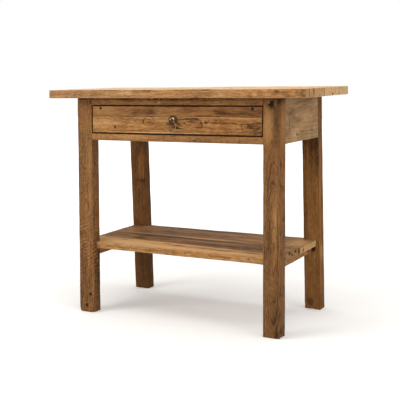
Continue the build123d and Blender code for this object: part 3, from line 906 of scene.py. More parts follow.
    def sink(self, seed: int, local: np.ndarray, normal: np.ndarray) -> np.ndarray:
        """How far each point sinks along its direction.

        It is the sum of the unevenness, which is noise drawn out along the grain, the roughness of the cut
        ends, and each flaw's depth times exp(-2 d^2), where d is the distance from the flaw's middle in its
        own half-lengths.

        Args:
            seed: Start of the random draws.
            local: Points along, across and through the board, from its middle, in mm.
            normal: Their outward directions.

        Returns:
            The distances, in mm.
        """
        broad = self.uneven * (0.5 + 0.5 * np.clip(Ripple(seed + 1, self.BROAD_WAVES)(local), -1, 1))
        fine = self.FINE_SHARE * self.uneven * (1 + Ripple(seed + 2, self.FINE_WAVES)(local))
        rough = self.END_ROUGHNESS * (1 + Ripple(seed + 3, self.END_WAVES)(local))
        sink = np.maximum(broad + fine + rough * np.abs(normal[..., 0]), 0.0)
        world = self.lay(local / self.size + 0.5)
        for flaw_or_shade in self.flaws_and_painted_shade:
            if flaw_or_shade.depth:
                distance = np.linalg.norm((world - np.array(flaw_or_shade.centre)) / np.array(flaw_or_shade.reach), axis=-1)
                sink = sink + flaw_or_shade.depth * np.exp(-2 * distance**2)
        return sink

    def build(self) -> None:
        """Builds the board from its rows and sections, riding on the body of its CAD node.

        Its attributes are arris, the wear on the rounded edges, and end_grain, 1 on the cut ends.
        """
        length, _, thick = self.size
        middle = (self.low + self.high) / 2
        run_axis, across_axis, _ = self.lie.axes
        deep = [np.array(flaw_or_shade.centre) - middle for flaw_or_shade in self.flaws_and_painted_shade if flaw_or_shade.depth]
        along_marks = [spot[run_axis] + length / 2 for spot in deep]
        along_marks += [x - middle[0] + length / 2 for x in self.marks]
        run, inset, tilt = self.rows(along_marks)

        seed = sum(ord(letter) * (place + 3) for place, letter in enumerate(self.name))
        edges = np.stack(np.broadcast_arrays(run[:, None], 0.0, np.arange(4) * 0.37), -1)
        share = self.ARRIS_MIDDLE + self.ARRIS_SPREAD * Ripple(seed, self.ARRIS_WAVES)(edges)
        radii = self.arris * np.clip(share, *self.ARRIS_LIMITS) * (1 - inset / (thick / 2))[:, None]
        places, ways = self.section(inset, radii, [spot[across_axis] for spot in deep])

        def joined(first: np.ndarray, rest: np.ndarray) -> np.ndarray:
            """A value for each row, set before the two of each of its points."""
            return np.concatenate([np.broadcast_to(first[:, None, None], (*rest.shape[:2], 1)), rest], -1)

        lean = np.sqrt(1 - tilt**2)[:, None, None]
        local, normal = joined(run - length / 2, places), joined(tilt, ways * lean)
        world = self.lay((local - normal * self.sink(seed, local, normal)[..., None]) / self.size + 0.5)
        rim = 2 * np.abs(normal[..., 1] * normal[..., 2]) + 2 * np.abs(normal[..., 0]) * lean[..., 0]
        patch = 0.6 + 0.4 * Ripple(seed + 4, self.WEAR_WAVES)(local)
        wear_and_highlight = np.clip(rim, 0, 1) * np.clip(patch, 0, 1)
        piece = grid_mesh(self.name, world, False, {"arris": wear_and_highlight, "end_grain": np.abs(normal[..., 0]) ** 2})
        finish = self.wood.material(f"{self.name}_wood", tuple(middle), self.lie, self.flaws_and_painted_shade, self.stains_and_painted_light)
        stand_in(piece, self.node, finish, self.slot)


# ---- The bench's own lines ----


def span(node: str) -> tuple[np.ndarray, np.ndarray]:
    """Lowest and highest corner of a CAD node, in mm."""
    low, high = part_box(node)
    return np.array(low) / MM, np.array(high) / MM


def points_of(node: str) -> np.ndarray:
    """Reads a CAD node's mesh.

    Args:
        node: Name of the node.

    Returns:
        Its points, in mm.
    """
    mesh = frame["nodes"][node].data
    flat = np.empty(len(mesh.vertices) * 3)
    mesh.vertices.foreach_get("co", flat)
    return flat.reshape(-1, 3) / MM


def stand_in(piece: bpy.types.Object, node: str, finish: bpy.types.Material, slot: str) -> None:
    """Finishes a new piece and lets it stand for a CAD node, on that node's body.

    Args:
        piece: The new piece.
        node: The CAD node that it replaces.
        finish: Its material.
        slot: The record's material slot; not used.
    """
    piece.data.materials.append(finish)
    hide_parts(node)
    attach(piece, frame["nodes"][node]["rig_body"])
    log.info("%s stands for %s, %d points", piece.name, node, len(piece.data.vertices))


@dataclass
class Lines:
    """The leaning lines of the frame, measured on the CAD legs.

    Attributes:
        front: y of the front legs' outer faces at their tops, in mm.
        back: y of the back legs' outer faces at their tops, in mm.
        depth: Depth of a leg, front to back, in mm.
        slope: How far a leg's foot stands out for each millimetre down.
        top: Height of the legs' tops, in mm.
        inner: Distance of the legs' inner sides from the middle, in mm.
    """

    front: float = field(init=False)
    back: float = field(init=False)
    depth: float = field(init=False)
    slope: float = field(init=False)
    top: float = field(init=False)
    inner: float = field(init=False)

    def __post_init__(self) -> None:
        """Measures the legs: the highest points give the depth, and the foremost point the slope."""
        points = points_of("leg_front_right")
        crown = points[points[:, 2] > points[:, 2].max() - 0.01]
        foremost = points[points[:, 1].argmin()]
        self.top = float(points[:, 2].max())
        self.front = float(crown[:, 1].min())
        self.depth = float(crown[:, 1].max()) - self.front
        self.slope = (self.front - foremost[1]) / (self.top - foremost[2])
        self.inner = float(points[:, 0].min())
        behind = points_of("leg_back_right")
        self.back = float(behind[behind[:, 2] > self.top - 0.01][:, 1].max())

    def front_line(self, inset: float) -> Edge:
        """Plane parallel to the front legs' outer faces, as y at x and z, moved back by inset."""
        return lambda x, z: self.front - self.slope * (self.top - z) + inset

    def back_line(self, inset: float) -> Edge:
        """Plane parallel to the back legs' outer faces, as y at x and z, moved forward by inset."""
        return lambda x, z: self.back + self.slope * (self.top - z) - inset

    def between_legs(self) -> dict[str, Edge]:
        """Near and far ends of a board that runs from a front leg to a back leg."""
        return {"near": self.front_line(self.depth), "far": self.back_line(self.depth)}


def between(first: tuple[float, float], second: tuple[float, float]) -> Edge:
    """Straight line in plan through two (x, y) places, as y at x."""
    slope = (second[1] - first[1]) / (second[0] - first[0])
    return lambda x, z: first[1] + (x - first[0]) * slope


def gap_dirt_and_shade(beside: bool) -> list[FlawAndPaintedShade]:
    """Painted shade, with some dirt, along the gap round the drawer, as thin flat ellipsoids.

    Args:
        beside: Whether it is the gap at the drawer's ends; otherwise it is the one above and below.

    Returns:
        The ellipsoids.
    """
    inward, shade = 12.0, 0.95
    low, high = span("drawer_front_lower")
    above = span("drawer_front_upper")[1][2]
    gap = low[2] - span("front_lower_rail")[1][2]
    middle = (low + high) / 2
    middle[2] = (low[2] + above) / 2
    if beside:
        spots = [(x, low[1], middle[2]) for x in (low[0] - gap / 2, high[0] + gap / 2)]
        reach = (gap * 1.1, inward, (above - low[2]) * 0.62)
    else:
        spots = [(middle[0], low[1], z) for z in (low[2] - gap / 2, above + gap / 2)]
        reach = ((high[0] - low[0]) * 1.2, inward, gap * 1.45)
    return [FlawAndPaintedShade(spot, reach, shade=shade) for spot in spots]


def painted_shade_under_top(lines: Lines, reach: float, tone: float) -> list[StainAndPaintedLight]:
    """Painted shade close under the top, along the whole frame, down to about this reach in mm."""
    beyond = 900.0
    return [StainAndPaintedLight((0.0, 0.0, lines.top), (beyond, beyond, reach), tone, 0.15)]


def nail_rims(node: str) -> list[FlawAndPaintedShade]:
    """Dark rims round two nails, one each side of the middle.

    Args:
        node: The CAD node of both nails.

    Returns:
        The rims, as ellipsoids round the nails' heads.
    """
    points = points_of(node)
    sides = [points[points[:, 0] < 0], points[points[:, 0] > 0]]
    heads = [(side.min(0) + side.max(0)) / 2 for side in sides]
    return [FlawAndPaintedShade((x, points[:, 1].min(), z), (6.5, 8.0, 6.5), shade=1.0) for x, _, z in heads]


# ---- The bench ----


@dataclass
class Bench:
    """Base of the wooden sub-assemblies.

    Attributes:
        lines: The frame's leaning lines.
        boards: The boards of the sub-assembly.
    """

    lines: Lines
    boards: list[Board] = field(default_factory=list)

    # Flaws and stains of the boards, with patches of painted light and shade, by CAD node
    FLAWS_AND_PAINTED_SHADE: ClassVar[dict[str, list[FlawAndPaintedShade]]] = {}
    STAINS_AND_PAINTED_LIGHT: ClassVar[dict[str, list[StainAndPaintedLight]]] = {}

    def add(self, board: Board) -> None:
        """Adds a board; what is listed for its node comes before its own flaws, stains and painted light and
        shade.

        Args:
            board: The board.
        """
        board.flaws_and_painted_shade = [*self.FLAWS_AND_PAINTED_SHADE.get(board.node, ()), *board.flaws_and_painted_shade]
        board.stains_and_painted_light = [*self.STAINS_AND_PAINTED_LIGHT.get(board.node, ()), *board.stains_and_painted_light]
        self.boards.append(board)

    def build(self) -> None:
        """Builds every board of the sub-assembly."""
        for board in self.boards:
            board.build()


@dataclass
class Top(Bench):
    """The plank top: four boards side by side.

    Attributes:
        wood: Finish that the boards' own ones start from.
    """

    wood: Wood = Wood(
        dark="7a5c39", body="b39670", light="d8c8ab", end="c09a6a", wear=0.5, rings=0.15, gloss=0.35,
        waxed=0.22,
    )

    FLAWS_AND_PAINTED_SHADE = {
        "top_plank_front": [
            FlawAndPaintedShade((-86, -222, 817), (34, 8, 3), 0.6, 0.4), FlawAndPaintedShade((148, -222, 817), (24, 8, 3), 1.0, 0.45),
            FlawAndPaintedShade((178, -222, 803), (5, 6, 3), 0.6, 0.6), FlawAndPaintedShade((326, -222, 803), (9, 6, 5), 1.2),
            FlawAndPaintedShade((300, -222, 796), (26, 6, 1.5), 0.7, 0.5), FlawAndPaintedShade((404, -222, 812), (10, 6, 3), 0.6, 0.55),
            FlawAndPaintedShade((446, -222, 796), (22, 6, 3), 0.8, 0.5), FlawAndPaintedShade((496, -222, 797), (9, 9, 5), 2.0, 0.55),
            FlawAndPaintedShade((502, -219, 806), (3, 5, 20), 0.0, 0.7), FlawAndPaintedShade((501, -186, 806), (4, 4, 24), 0.4, 0.6),
            FlawAndPaintedShade((501, -150, 806), (4, 4, 24), 0.6, 0.7), FlawAndPaintedShade((-420, -222, 819), (40, 8, 5), 1.2),
        ],
        "top_plank_second": [
            FlawAndPaintedShade((501, -96, 796), (7, 6, 6), 1.5, 0.5), FlawAndPaintedShade((501, -141, 806), (5, 3, 24), 0.8, 0.8),
            FlawAndPaintedShade((501, -44, 806), (5, 4.0, 24), 0.6, 0.7),
        ],
        "top_plank_third": [
            FlawAndPaintedShade((501, 36, 797), (7, 12, 5), 2.0, 0.85), FlawAndPaintedShade((501, 62, 801), (5, 4, 6), 1.5, 0.7),
            FlawAndPaintedShade((501, 94, 806), (5, 5, 24), 0.8, 0.8),
        ],
        "top_plank_back": [
            FlawAndPaintedShade((501, 198, 812), (8, 8, 9), 2.5, 0.9), FlawAndPaintedShade((501, 124, 815), (5, 5, 5), 1.6, 0.8),
            FlawAndPaintedShade((501, 106, 797), (5, 4, 5), 1.2, 0.7),
        ],
    }
    STAINS_AND_PAINTED_LIGHT = {
        "top_plank_front": [
            StainAndPaintedLight((-176, -222, 807), (40, 8, 9), 0.15, 0.9), StainAndPaintedLight((207, -222, 801), (44, 8, 6), 0.2, 0.9),
            StainAndPaintedLight((326, -222, 803), (12, 8, 6), 0.4, 0.9), StainAndPaintedLight((-86, -222, 812), (70, 8, 7), -0.25, 0.9),
            StainAndPaintedLight((400, -222, 809), (80, 8, 14), -0.2, 0.9), StainAndPaintedLight((486, -222, 804), (22, 8, 20), -0.3),
            # The three lighter patches on the upper face near the front, at z 821 and 822, are painted sheen
            StainAndPaintedLight((0, -190, 821), (900, 28, 3), 0.8, 0.3), StainAndPaintedLight((380, -195, 821), (160, 34, 3), 0.6, 0.3),
            StainAndPaintedLight((500, -185, 822), (50, 40, 5), 0.6, 0.3), StainAndPaintedLight((501, -200, 806), (5, 18, 20), -0.5, 0.4),
            StainAndPaintedLight((501, -160, 806), (5, 9, 20), 0.4, 0.4),
        ],
        "top_plank_third": [StainAndPaintedLight((501, 80, 808), (8, 20, 20), 0.3)],
    }

    def __post_init__(self) -> None:
        """Lists the boards, from the front to the back."""
        looks = {
            "front": replace(
                self.wood, body="a27343", light="cfa372", dark="5c3d1f", end="b58a5c", shift=100,
                pith=(10, -70), gloss=0.2, blotches=0.5, bands=0.4,
            ),
            "second": replace(self.wood, end="b48455", shift=900, pith=(-30, -45), tilt=(0.0, 0.05)),
            "third": replace(self.wood, body="bd966d", end="cfa574", shift=1700, pith=(20, -55)),
            "back": replace(self.wood, body="caa57a", end="c9a476", shift=2600, pith=(45, -30)),
        }
        for name, look in looks.items():
            self.add(Board(f"top_board_{name}", f"top_plank_{name}", Lie.FLAT, look, "top_wood", uneven=0.6))


@dataclass
class Legs(Bench):
    """The four leaning legs.

    Attributes:
        wood: Finish that the legs' own ones start from.
    """

    wood: Wood = Wood(dark="422a13", body="7d5531", light="a67948", end="6f5232", wear=0.35, rings=0.12)

    FLAWS_AND_PAINTED_SHADE = {
        "leg_front_left": [
            FlawAndPaintedShade((-379, -182, 786), (6, 8, 4), 1.5, 0.8), FlawAndPaintedShade((-344, -183, 775), (5, 8, 9), 0.6, 0.6),
            FlawAndPaintedShade((-357, -187, 655), (2.5, 6, 4), 0.8, 0.6), FlawAndPaintedShade((-350, -189, 530), (2.0, 6, 7), 0.8, 0.7),
            FlawAndPaintedShade((-358, -192, 392), (2.5, 6, 24), 0.6, 0.55), FlawAndPaintedShade((-354, -203, 68), (8, 9, 8), 3.0, 1.0),
            FlawAndPaintedShade((-371, -204, 25), (6, 9, 10), 3.0, 1.0), FlawAndPaintedShade((-340, -199, 165), (11, 11, 80), 3.0),
            FlawAndPaintedShade((-340, -204, 2), (12, 12, 12), 2.5), FlawAndPaintedShade((-401, -204, 0), (14, 14, 12), 4.0),
        ],
        "leg_front_right": [
            FlawAndPaintedShade((370, -183, 771), (9.5, 12, 15), 1.2, 1.0), FlawAndPaintedShade((360, -183, 767), (6, 12, 5), 0.5, 0.85),
            FlawAndPaintedShade((378, -188, 250), (40, 900, 420), lines=6, warp=0.2, ink=0.36),
            FlawAndPaintedShade((392, -195, 350), (2.2, 9, 190), 0.5, 0.4), FlawAndPaintedShade((392, -200, 120), (2.5, 9, 40), 0.5, 0.4),
            FlawAndPaintedShade((403, -190, 2), (15, 26, 16), 5.0), FlawAndPaintedShade((388, -203, 14), (14, 9, 22), 0.5, 0.5),
        ],
        "leg_back_left": [
            FlawAndPaintedShade((-316, 165, 456), (9, 9, 6), 1.2, 0.85), FlawAndPaintedShade((-367, 173, 137), (3, 9, 5), 1.5, 0.8),
        ],
        "leg_back_right": [
            FlawAndPaintedShade((362, 178, 26), (15, 9, 20), 0.5, 0.6), FlawAndPaintedShade((370, 185, 0), (9, 20, 8), 2.5),
            FlawAndPaintedShade((402, 170, 470), (5, 2, 60), 0.4, 0.3), FlawAndPaintedShade((338, 178, 10), (9, 30, 14), 2.0, 0.3),
            FlawAndPaintedShade((377, 171, 228), (10, 12, 15), 0.4, 0.95),
        ],
    }
    STAINS_AND_PAINTED_LIGHT = {
        "leg_front_left": [
            StainAndPaintedLight((-350, -186, 593), (10, 12, 34), 0.3, 1.2),
            StainAndPaintedLight((-350, -188, 535), (10, 12, 44), 0.3, 1.2), StainAndPaintedLight((-350, -191, 430), (9, 12, 60), 0.2, 1.2),
            StainAndPaintedLight((-368, -192, 350), (20, 12, 60), 0.1, 1.2),
            StainAndPaintedLight((-372, -202, 130), (50, 20, 190), -0.14, 0.4),
            StainAndPaintedLight((-370, -184, 700), (50, 20, 100), 0.13, 0.4), StainAndPaintedLight((-372, -183, 775), (30, 12, 16), -0.12),
            # Painted shade on the inner side, low down
            StainAndPaintedLight((-339, -160, 130), (6, 34, 200), -0.35, 0.2),
            StainAndPaintedLight((-341, -203, 150), (5, 12, 100), 0.4, 0.3),
        ],
        "leg_front_right": [
            StainAndPaintedLight((391, -184, 735), (16, 9, 105), -0.28, 0.2),
            # The first patch darkens the leg's top just under the top: painted shadow
            StainAndPaintedLight((396, -170, 782), (18, 40, 18), -0.35, 0.4), StainAndPaintedLight((356, -186, 705), (24, 9, 85), 0.5, 0.3),
            StainAndPaintedLight((366, -184, 760), (17, 9, 15), -0.35, 0.6), StainAndPaintedLight((403, -160, 700), (5, 40, 110), 0.4, 0.3),
            # Painted shade all down the outer side
            StainAndPaintedLight((403, -184, 400), (4, 90, 900), -0.1, 0.2),
            StainAndPaintedLight((382, -195, 380), (13, 9, 160), 0.32, 0.25),
            StainAndPaintedLight((360, -195, 420), (10, 9, 240), -0.12, 0.6),
            StainAndPaintedLight((380, -204, 110), (32, 30, 120), -0.1, 0.8), StainAndPaintedLight((406, -203, 45), (5, 9, 28), 0.6, 0.6),
        ],
        "leg_back_left": [
            StainAndPaintedLight((-360, 160, 500), (7, 12, 60), 0.45, 0.5),
            # Painted shade on the front face, high up
            StainAndPaintedLight((-345, 160, 610), (60, 20, 70), -0.12, 0.4),
            StainAndPaintedLight((-345, 163, 480), (4, 12, 40), 0.35, 0.5), StainAndPaintedLight((-352, 165, 446), (40, 12, 9), -0.5, 0.8),
            # Painted shade low down, under the shelf
            StainAndPaintedLight((-350, 178, 120), (60, 60, 130), -0.3, 0.3),
            StainAndPaintedLight((-328, 160, 300), (14, 8, 500), -0.15, 0.6),
        ],
        "leg_back_right": [
            # Painted shade on the front face, high up
            StainAndPaintedLight((372, 160, 620), (60, 12, 90), -0.35, 0.6),
            StainAndPaintedLight((372, 170, 130), (60, 12, 190), 0.15, 0.4), StainAndPaintedLight((401, 190, 215), (6, 14, 40), 0.5, 0.6),
            # Painted shade all down the outer side, darkest at its top
            StainAndPaintedLight((403, 180, 400), (3, 60, 900), -0.15, 0.2),
            StainAndPaintedLight((403, 205, 720), (5, 60, 120), -0.25, 0.3),
        ],
    }

    def __post_init__(self) -> None:
        """Lists the legs; those in front lean to the front and those behind lean to the back."""
        looks = {
            "front_left": replace(
                self.wood, body="7f5834", shift=40, saw=0.25, sawn=-150, pith=(-30, 50), grit=1.5,
                grain=9.0, bands=0.3, blotches=0.4,
            ),
            "front_right": replace(
                self.wood, body="795331", shift=800, streaks=0.45, pith=(2, 60), bands=0.3, blotches=0.3,
                grit=0.9, grain=10.0,
            ),
            # The back-left leg's darker colours are partly its own wood and partly painted shade, for the
            # shade that falls on it under the bench
            "back_left": replace(self.wood, body="644120", light="8c6032", shift=1500, pith=(20, 60)),
            "back_right": replace(
                self.wood, body="7a5129", shift=2300, pith=(-60, 20), grit=0.8, blotches=0.5
            ),
        }
        for name, look in looks.items():
            front = name.startswith("front")
            line = self.lines.front_line if front else self.lines.back_line
            near, far = (line(0.0), line(self.lines.depth))[:: 1 if front else -1]
            # On the front legs, painted shade, with some dirt, along the gap beside the drawer
            # Painted shade under the top, on every leg
            self.add(
                Board(
                    f"post_{name}", f"leg_{name}", Lie.POST, look, "leg_wood", near=near, far=far, arris=2.4,
                    uneven=0.5, flaws_and_painted_shade=gap_dirt_and_shade(True) if front else (), stains_and_painted_light=painted_shade_under_top(self.lines, 8.0, -0.5),
                )
            )


@dataclass
class Apron(Bench):
    """Front rails, side boards and back board.

    Attributes:
        wood: Finish that the rails' own ones start from.
        grey: Finish that the side and back boards' own ones start from.
    """

    wood: Wood = Wood(dark="4d311a", body="8f633a", light="b88956", wear=0.4, rings=0.12)
    grey: Wood = Wood(
        dark="5f472d", body="957553", light="b99871", wear=0.35, rings=0.16, ring=9.0, streaks=0.4,
        blotches=0.9, grit=0.7,
    )

    FLAWS_AND_PAINTED_SHADE = {
        "front_upper_rail": [
            FlawAndPaintedShade((76, -183, 776), (1.3, 6, 10), 0.5, 0.75), FlawAndPaintedShade((-71, -183, 786), (13, 7, 5), 0.8, 0.7),
            FlawAndPaintedShade((-71, -183, 786), (34, 20, 14), lines=2.0), FlawAndPaintedShade((-278, -183, 774), (20, 20, 12), lines=2.0),
            FlawAndPaintedShade((150, -183, 782), (40, 6, 1.5), 0.4, 0.4),
        ],
        "front_lower_rail": [
            FlawAndPaintedShade((-36, -186, 656), (5, 7, 6), 0.5, 0.45), FlawAndPaintedShade((8, -186, 652), (1.3, 7, 13), 0.5, 0.6),
            FlawAndPaintedShade((88, -186, 645), (9, 7, 3), 0.8, 0.6), FlawAndPaintedShade((88, -186, 645), (30, 20, 13), lines=2.5),
            FlawAndPaintedShade((254, -186, 649), (1.3, 7, 11), 0.5, 0.65),
        ],
        "back_apron": [
            FlawAndPaintedShade((-140, 204, 720), (60, 9, 34), lines=3, warp=0.8),
            FlawAndPaintedShade((210, 204, 690), (16, 9, 10), 0.8, 0.8),
            FlawAndPaintedShade((210, 204, 690), (60, 9, 34), lines=4, warp=0.5),
        ],
    }
    STAINS_AND_PAINTED_LIGHT = {
        "front_upper_rail": [
            StainAndPaintedLight((-55, -183, 776), (6, 8, 8), 0.5), StainAndPaintedLight((-282, -183, 774), (14, 8, 6), 0.3),
        ],
        "front_lower_rail": [StainAndPaintedLight((-200, -186, 655), (150, 9, 14), 0.2, 0.9)],
        "back_apron": [
            StainAndPaintedLight((60, 204, 740), (160, 12, 30), -0.3, 0.9), StainAndPaintedLight((-250, 204, 680), (90, 12, 30), 0.25, 0.9),
        ],
    }

    def __post_init__(self) -> None:
        """Lists the boards, with shoulders against the legs."""
        for index, name in enumerate(("front_upper_rail", "front_lower_rail")):
            look = replace(self.wood, shift=300 + 700 * index, pith=(40, 30))
            low, high, depth = self.shoulders(name)
            # Painted shade under the top
            # Painted shade, with some dirt, along the gap above and below the drawer
            self.add(
                Board(
                    f"{name}_board", name, Lie.RAIL, look, "rail_wood", low, high, self.lines.front_line(0.0),
                    self.lines.front_line(depth), arris=1.1, uneven=0.15, flaws_and_painted_shade=gap_dirt_and_shade(False),
                    stains_and_painted_light=painted_shade_under_top(self.lines, 13.0, -0.5),
                )
            )
        self.add_side("left", 0, replace(self.grey, shift=60, pith=(15, 40)))
        self.add_side("right", 1, replace(self.grey, shift=1900, pith=(15, -45)))
        low, high, depth = self.shoulders("back_apron")
        self.add(
            Board(
                "back_board", "back_apron", Lie.RAIL, replace(self.grey, shift=2900), "apron_wood", low, high,
                self.lines.back_line(depth), self.lines.back_line(0.0), arris=1.6, uneven=0.3,
            )
        )

    def shoulders(self, node: str) -> tuple[np.ndarray, np.ndarray, float]:
        """Measures a leaning rail between the legs.

        Args:
            node: Its CAD node.

        Returns:
            Its lowest and its highest corner without the tenons, and its depth across the lean, in mm.
        """
        low, high = span(node)
        depth = high[1] - low[1] - self.lines.slope * (high[2] - low[2])
        low[0], high[0] = -self.lines.inner, self.lines.inner
        return low, high, depth

    def add_side(self, side: str, outer: int, wood: Wood) -> None:
        """Adds a side board, with swirls round small knots on its outer face.

        Args:
            side: Its side, left or right.
            outer: Which corner of its node lies on the outer face: 0 for the lowest, 1 for the highest.
            wood: Its finish.
        """
        node = f"side_apron_{side}"
        x = span(node)[outer][0]
        swirls = [
            FlawAndPaintedShade((x, -89, 733), (9, 34, 28), lines=2.2, warp=1.4, ink=0.25),
            FlawAndPaintedShade((x, -104, 676), (9, 40, 24), lines=2.2, warp=1.4, ink=0.25),
            FlawAndPaintedShade((x, 60, 700), (9, 90, 60), lines=3, warp=2.5, ink=0.2),
            FlawAndPaintedShade((x, 120, 660), (9, 36, 30), lines=2, warp=2.0, ink=0.3),
            FlawAndPaintedShade((x, -110, 702), (5, 5, 24), 0.3, 0.4),
            FlawAndPaintedShade((x, -39, 661), (6, 10, 4), 1.6, 0.9),
            FlawAndPaintedShade((x, -46, 668), (6, 3, 5), 1.0, 0.8),
        ]
        patches_and_shade = [
            # The first patch darkens the board along its top, under the overhang: painted shade
            StainAndPaintedLight((x, 0, 775), (9, 110, 16), -0.3, 0.8),
            StainAndPaintedLight((x, -60, 668), (9, 46, 22), 0.3, 0.9),
            StainAndPaintedLight((x, 40, 710), (9, 90, 40), 0.18, 0.8),
        ]
        # Painted shade under the top
        self.add(
            Board(
                f"side_board_{side}", node, Lie.SIDE, wood, "apron_wood", **self.lines.between_legs(),
                arris=1.6, uneven=0.6, flaws_and_painted_shade=swirls, stains_and_painted_light=patches_and_shade + painted_shade_under_top(self.lines, 8.0, -0.3),
            )
        )


@dataclass
class Shelf(Bench):
    """The low shelf: three tapering boards notched round the legs, and a bearer under each end.

    Attributes:
        wood: Finish that the boards' own ones start from.
        notch_gap: Gap between a notch and the leg's inner side, in mm.
    """

    wood: Wood = Wood(
        dark="553a1f", body="ae7f4f", light="d6a873", end="b08350", wear=0.7, rings=0.15, streaks=1.0,
        bands=0.35, blotches=0.4, grit=1.3, grain=26.0,
    )
    notch_gap: float = 1.0

    # Length over which a notch's side slopes, in mm
    NOTCH_SLOPE = 2.0
    FLAWS_AND_PAINTED_SHADE = {
        "shelf_plank_front": [
            FlawAndPaintedShade((-77, -102, 262), (24, 6, 6), 0.8, 0.7), FlawAndPaintedShade((-26, -117, 262), (30, 8, 6), 1.2, 0.85),
            FlawAndPaintedShade((68, -124, 262), (26, 7, 6), 0.8, 0.6), FlawAndPaintedShade((-262, -103, 262), (16, 6, 6), 0.5, 0.5),
            FlawAndPaintedShade((150, -135, 262), (60, 8, 6), 0.8, 0.45), FlawAndPaintedShade((270, -132, 262), (46, 9, 6), 1.0, 0.5),
            FlawAndPaintedShade((-10, -181, 250), (1.8, 7, 9), 0.5, 0.7), FlawAndPaintedShade((37, -181, 251), (5, 7, 3), 0.5, 0.6),
            FlawAndPaintedShade((-108, -181, 248), (6, 7, 3), 0.4, 0.45), FlawAndPaintedShade((-185, -181, 258), (3, 7, 6), 0.4, 0.45),
            FlawAndPaintedShade((133, -181, 254), (5, 7, 3), 0.5, 0.6), FlawAndPaintedShade((280, -181, 252), (4, 7, 3), 0.8, 0.8),
            FlawAndPaintedShade((389, -88, 253), (12, 18, 7), 4.0, 0.7), FlawAndPaintedShade((389, -122, 250), (12, 19, 8), 4.0, 0.75),
            FlawAndPaintedShade((389, -150, 246), (9, 16, 6), 3.0, 0.7), FlawAndPaintedShade((380, -128, 262), (18, 10, 8), 1.6, 0.5),
        ],
        "shelf_plank_middle": [
            FlawAndPaintedShade((-225, -49, 262), (34, 12, 6), 0.8, 0.75), FlawAndPaintedShade((-130, -40, 262), (34, 8, 6), 0.6, 0.6),
            FlawAndPaintedShade((250, -60, 262), (70, 9, 6), 0.8, 0.6), FlawAndPaintedShade((60, -56, 262), (90, 8, 6), 0.8, 0.5),
            FlawAndPaintedShade((140, 4, 262), (60, 8, 6), 0.8, 0.5), FlawAndPaintedShade((382, -64, 257), (12, 16, 7), 4.0, 0.85),
            FlawAndPaintedShade((382, -42, 248), (12, 12, 6), 3.5, 0.75), FlawAndPaintedShade((382, -10, 254), (12, 17, 6), 3.5, 0.85),
            FlawAndPaintedShade((382, 20, 248), (9, 12, 6), 2.5, 0.65),
        ],
        "shelf_plank_back": [
            FlawAndPaintedShade((389, 46, 248), (9, 7, 9), 2.5, 0.8), FlawAndPaintedShade((-120, 40, 262), (80, 4, 6), 0.7, 0.4),
            FlawAndPaintedShade((90, 60, 262), (90, 4, 6), 0.8, 0.45),
        ],
    }
    STAINS_AND_PAINTED_LIGHT = {
        "shelf_plank_front": [
            # The first four patches lighten the upper face where the top above shades it: painted light
            StainAndPaintedLight((-200, -120, 264), (220, 90, 5), 0.6, 0.4), StainAndPaintedLight((-310, -110, 264), (90, 40, 5), 0.3, 0.5),
            StainAndPaintedLight((100, -100, 264), (300, 16, 5), 0.6, 0.6), StainAndPaintedLight((110, -160, 264), (400, 26, 5), 0.8, 0.4),
            StainAndPaintedLight((388, -100, 250), (6, 90, 20), -0.12, 0.5),
            StainAndPaintedLight((-300, -181, 250), (110, 8, 16), -0.1, 0.4),
            StainAndPaintedLight((0, -183, 250), (420, 6, 16), -0.12, 0.3),
        ],
        "shelf_plank_middle": [
            StainAndPaintedLight((-277, -16, 262), (26, 14, 6), 0.9, 1.2), StainAndPaintedLight((-300, -70, 264), (90, 40, 6), 0.5, 0.6),
            StainAndPaintedLight((-120, 8, 262), (230, 16, 6), -0.4, 0.5), StainAndPaintedLight((360, -20, 264), (30, 80, 5), 0.5, 0.6),
            StainAndPaintedLight((382, -20, 250), (8, 90, 20), -0.25, 0.5), StainAndPaintedLight((60, -20, 262), (160, 14, 6), 0.3, 0.9),
            StainAndPaintedLight((150, -62, 262), (240, 14, 6), -0.4, 0.8),
        ],
        "shelf_plank_back": [
            StainAndPaintedLight((-80, 30, 262), (330, 16, 6), 0.7, 0.5), StainAndPaintedLight((160, 70, 262), (120, 14, 6), 0.4, 0.8),
            StainAndPaintedLight((350, 90, 264), (60, 90, 6), 0.7, 0.5), StainAndPaintedLight((-40, 176, 262), (330, 24, 6), -0.5, 0.5),
            StainAndPaintedLight((-60, 90, 262), (200, 12, 6), -0.25, 0.8),
        ],
    }

    def __post_init__(self) -> None:
        """Lists the boards and bearers; the boards' edges are read off the CAD boards' ends."""
        middle = replace(self.wood, dark="45301b", body="835b36", light="ab8154", end="a37b50", wear=0.4)
        back = replace(self.wood, dark="573c22", body="906842", light="c19867", end="c49a68", wear=0.5)
        looks = {
            "front": replace(self.wood, shift=430, pith=(10, -60), streaks=0.7, grit=1.2),
            "middle": replace(middle, shift=1250, pith=(-20, -50)),
            "back": replace(back, shift=2350, pith=(30, -60)),
        }
        for name, look in looks.items():
            node = f"shelf_plank_{name}"
            low, high = span(node)
            points = points_of(node)
            ends = [(x, points[np.abs(points[:, 0] - x) < 0.5][:, 1]) for x in (low[0], high[0])]
            near = between(*[(x, end.min()) for x, end in ends])
            far = between(*[(x, end.max()) for x, end in ends])
            if name == "front":
                near = self.notched(low[1], ends[0][1].min())
            if name == "back":
                far = self.notched(high[1], ends[0][1].max())
            step = self.lines.inner - self.notch_gap
            self.add(
                Board(
                    f"shelf_board_{name}", node, Lie.FLAT, look, "shelf_wood", near=near, far=far, uneven=0.8,
                    marks=() if name == "middle" else (-step, step),
                )
            )
        bearer = replace(self.wood, body="936842", light="bd8e5b", pith=(40, 40))
        self.add_bearer("left", 0, replace(bearer, shift=400))
        self.add_bearer("right", 1, replace(bearer, shift=3100))

